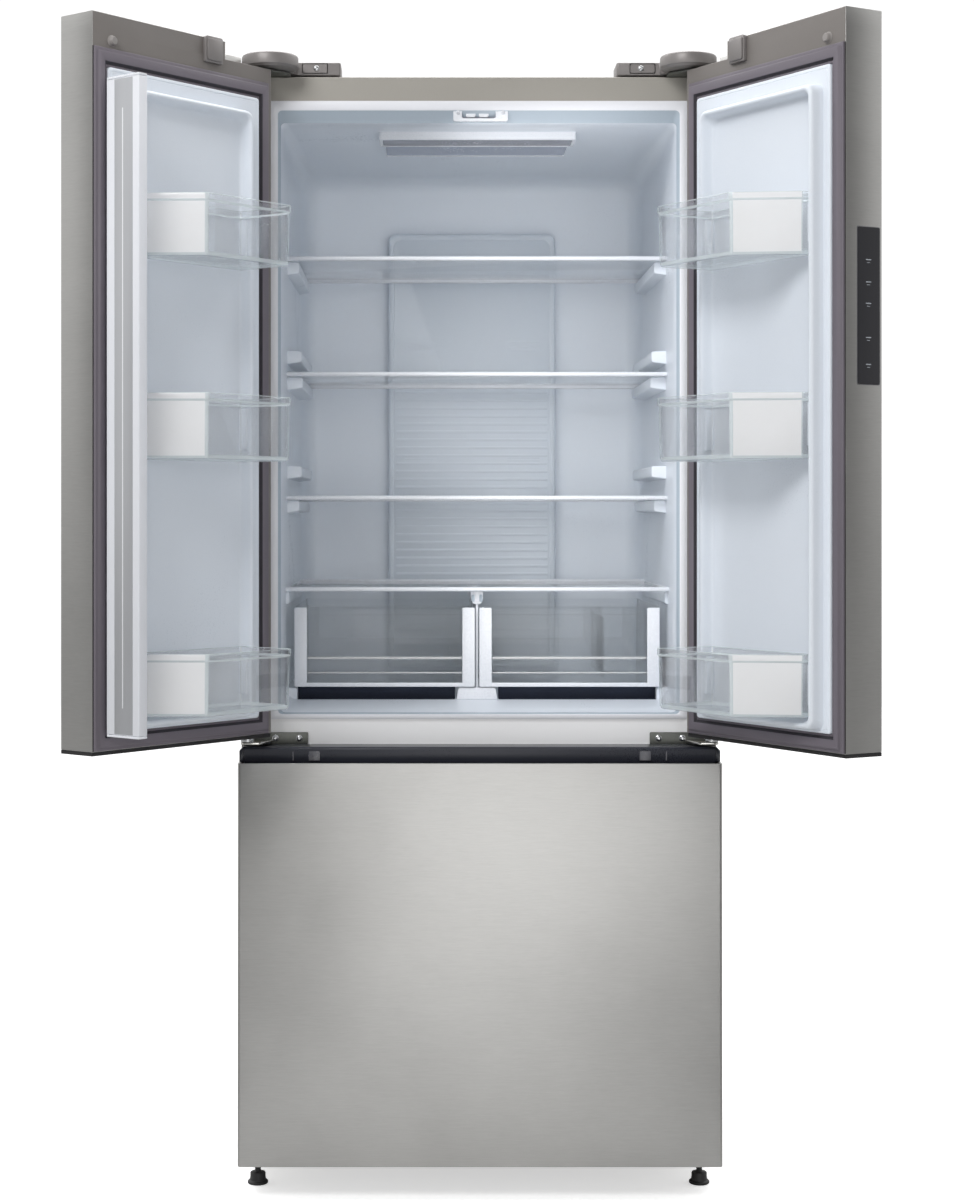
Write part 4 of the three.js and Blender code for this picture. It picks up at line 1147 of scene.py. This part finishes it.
def makeGrip():
    bm = bmesh.new()
    section = [(-74.7, 655.4), (-22.3, 655.4), (-22.3, 688.3), (-12, 688.3), (-12, 712), (-60, 712),
               (-63, 709),
               (-61.5, 700), (-58, 684), (-59, 672), (-66, 662), (-71.7, 659), (-71.7, 672), (-74.7, 672)]
    radii = [1, 1, 1, 1, 2, 2, 2, 4, 6, 6, 6, 1.5, 1, 1]
    addPrism(bm, rounded(section, radii, 4), across, -372, 372, 0.6, 0)
    # the trim's ends, chamfered to the drawer's corners
    for side in (-1, 1):
        end = [(side * 371.8, 688.4), (side * 379.6, 688.4), (side * 379.6, 706), (side * 374, 711.8),
               (side * 371.8, 711.8)]
        addPrism(bm, rounded(end, [0.4, 1, 2, 2, 0.4], 3), upright, -60.5, -14, 1.0, 0)
        # two lighter bars on each side of the grip: painted reflection
        for x, half in ((294.5, 1.2), (261, 9)):
            reflectionBand = sorted((side * (x - half), side * (x + half)))
            addPrism(bm, rounded([(-62.4, 690), (-58, 690), (-58, 709), (-62.4, 708)], 1, 2), across, *reflectionBand,
                     0.9, 1)
    finishPiece("drawerGrip", bm, cabinetPlace, ["gripCharcoal", "gripPaintedReflection"], "freezer_drawer",
                ["drawer_grip_trim"], smooth=35)


footShape = {"x": 356, "y": 20, "turns": 9, "pitch": 3, "root": 4.4, "crest": 5}


def makeFoot(side, label):
    d = footShape
    bm = bmesh.new()
    profile = [(0, 0.0), (15, 0), (16.5, 1.4), (16.5, 4), (15.2, 5.4), (13.4, 6), (13, 8), (12.4, 11),
               (12.4, 17),
               (11.6, 18.6), (6, 19), (5, 19.4)]
    for turn in range(d["turns"]):
        rise = turn * d["pitch"]
        profile += [(d["root"], 20.8 + rise), (d["crest"], 22.2 + rise)]
    profile += [(d["crest"], 48.6), (0, 48.6)]
    addTurned(bm, profile, (side * d["x"], d["y"], 0), "z", 0, 32)
    finishPiece(label + "Foot", bm, cabinetPlace, ["footBlack"], f"{label}_front_foot_body",
                [f"{label}_front_foot"], smooth=35)


# Materials of the CAD nodes that stay
kept = {
    "freezer_liner": "linerWhite", "rear_panel": "galvanised", "base_frame": "galvanised",
    "machine_cover": "galvanised", "power_inlet": "capBlack", "compressor": "blackEnamel",
    "condenser": "aluminiumFin", "condenser_fan": "capBlack", "drain_pan": "greyPlastic",
    "evaporator": "aluminiumFin", "evaporator_cover": "linerWhite", "evaporator_fan": "capBlack",
    "left_rear_roller": "footBlack", "right_rear_roller": "footBlack", "left_door_bottom_cap": "capBlack",
    "right_door_bottom_cap": "capBlack", "freezer_drawer_liner": "linerWhite",
    "left_drawer_rail": "galvanised",
    "right_drawer_rail": "galvanised", "lower_freezer_basket": "basketPlastic",
    "upper_freezer_basket": "basketPlastic",
}


def dressNodes():
    for name, look in kept.items():
        mesh = nodes[name].data
        mesh.materials.clear()
        mesh.materials.append(materials[look])


# Stage
stageSettings = {"floor": 9.0, "floorTone": (0.9, 0.9, 0.9), "backdrop": 1.05, "behind": 0.9, "front": 0.16,
                 "bounce": ((0.08, 0.85), (0.72, 0.3)), "lift": 0.55,
                 "key": ((-1.7, -3.0, 3.7), (0.1, 0.1, 1.2), (2.0, 1.5), 90),
                 "mouth": ((0.1, -0.06, 1.28), (0.3, 0.5, 1.27), (0.3, 0.85), 0.75),
                 "fill": ((0.55, -4.6, 1.35), (0.0, 0.3, 0.9), (2.4, 2.5), 34),
                 "roof": ((0.0, 1.6, 3.6), (0, 1.4, 0), (5.0, 3.0), 150)}


def addArea(name, location, target, size, power, color=(1, 1, 1)):
    light = bpy.data.lights.new(name, "AREA")
    light.shape = "RECTANGLE"
    light.size, light.size_y = size
    light.energy, light.color = power, color
    lamp = bpy.data.objects.new(name, light)
    lamp.location = location
    lamp.rotation_euler = (Vector(target) - Vector(location)).to_track_quat("-Z", "Y").to_euler()
    bpy.context.scene.collection.objects.link(lamp)


def buildStage():
    bm = bmesh.new()
    half = stageSettings["floor"]
    bmesh.ops.create_grid(bm, x_segments=8, y_segments=8, size=half)
    mesh = bpy.data.meshes.new("floor")
    bm.to_mesh(mesh)
    bm.free()
    floor = bpy.data.objects.new("floor", mesh)
    bpy.context.scene.collection.objects.link(floor)
    tree, shader, place = startMaterial("floorPale")
    direct = addNode(tree, "LightPath").outputs["Is Camera Ray"]
    tone = addNode(tree, "Mix", data_type="RGBA")
    tree.links.new(direct, tone.inputs["Factor"])
    # the floor throws back more light in the middle than out at the sides
    place = addNode(tree, "SeparateXYZ")
    tree.links.new(addNode(tree, "TexCoord").outputs["Object"], place.inputs[0])
    away = addNode(tree, "Math", operation="ABSOLUTE")
    tree.links.new(place.outputs["X"], away.inputs[0])
    (near, bright), (far, dim) = stageSettings["bounce"]
    spread = addNode(tree, "MapRange", interpolation_type="SMOOTHSTEP")
    for key, value in {"From Min": near, "From Max": far, "To Min": bright, "To Max": dim}.items():
        spread.inputs[key].default_value = value
    tree.links.new(away.outputs[0], spread.inputs["Value"])
    tree.links.new(spread.outputs["Result"], tone.inputs["A"])
    tone.inputs["B"].default_value = (*stageSettings["floorTone"], 1)
    tree.links.new(tone.outputs["Result"], shader.inputs["Base Color"])
    lift = addNode(tree, "Math", operation="MULTIPLY")
    tree.links.new(direct, lift.inputs[0])
    lift.inputs[1].default_value = stageSettings["lift"]
    shader.inputs["Emission Color"].default_value = (1, 1, 1, 1)
    tree.links.new(lift.outputs[0], shader.inputs["Emission Strength"])
    shader.inputs["Roughness"].default_value = 0.8
    mesh.materials.append(materials["floorPale"])
    world = bpy.data.worlds.new("studio")
    bpy.context.scene.world = world
    world.use_nodes = True
    tree = world.node_tree
    heading = addNode(tree, "SeparateXYZ")
    tree.links.new(addNode(tree, "TexCoord").outputs["Generated"], heading.inputs[0])
    turn = addNode(tree, "MapRange", interpolation_type="SMOOTHSTEP")
    for key, value in {"From Min": -0.72, "From Max": -0.05, "To Min": stageSettings["front"],
                       "To Max": stageSettings["behind"]}.items():
        turn.inputs[key].default_value = value
    tree.links.new(heading.outputs["Y"], turn.inputs["Value"])
    seen = addNode(tree, "Mix", data_type="FLOAT")
    tree.links.new(addNode(tree, "LightPath").outputs["Is Camera Ray"], seen.inputs["Factor"])
    tree.links.new(turn.outputs["Result"], seen.inputs["A"])
    seen.inputs["B"].default_value = stageSettings["backdrop"]
    tree.links.new(seen.outputs["Result"], tree.nodes["Background"].inputs["Strength"])
    tree.nodes["Background"].inputs["Color"].default_value = (1, 1, 1, 1)
    centre = cabinetPlace.translation
    for name in ("key", "mouth", "fill", "roof"):
        spot, target, size, power = stageSettings[name]
        addArea(name, Vector(spot) + centre, Vector(target) + centre, size, power)
    bpy.context.scene.view_settings.view_transform = "Standard"


# Build
addCamera()
for side, label in ((-1, "left"), (1, "right")):
    makeDoorSkin(side, label)
    makeGasket(label + "DoorGasket", doorPlace(side), label + "_door", gasketShape["outer"],
               gasketShape["inner"],
               label + "_door_gasket")
    makeDoorLiner(side, label)
    for name, (low, high) in zip(binShape["names"], binShape["levels"]):
        makeBin(side, label, name, low, high)
    makeDoorFittings(side, label)
    makeHinges(side, label)
    makeFoot(side, label)
    makeCrisper(side, label)
makeFlap()
makeControlPanel()
print("doors and hinges made")
makeShell()
makeFridgeLiner()
makeFoam()
makeLinerFloor()
makeRail()
makeDuct()
makeLamp()
makeGuide()
for name, height in shelfShape["levels"].items():
    makeShelf(name + "Shelf", height, shelfShape["front"], shelfShape["back"], shelfShape["half"],
              name + "_shelf_body", name + "_shelf")
makeShelf("crisperCover", 955.4, 108, 498, 318, "cabinet", "crisper_cover")
makeCrisperSupport()
makeDrawer()
makeGrip()
makeGasket("drawerGasket", cabinetPlace, "freezer_drawer", (-334, 334, 62, 684), (-314, 314, 84, 662),
           "freezer_drawer_gasket", -10.0)
dressNodes()
buildStage()
print("cabinet and drawer made")
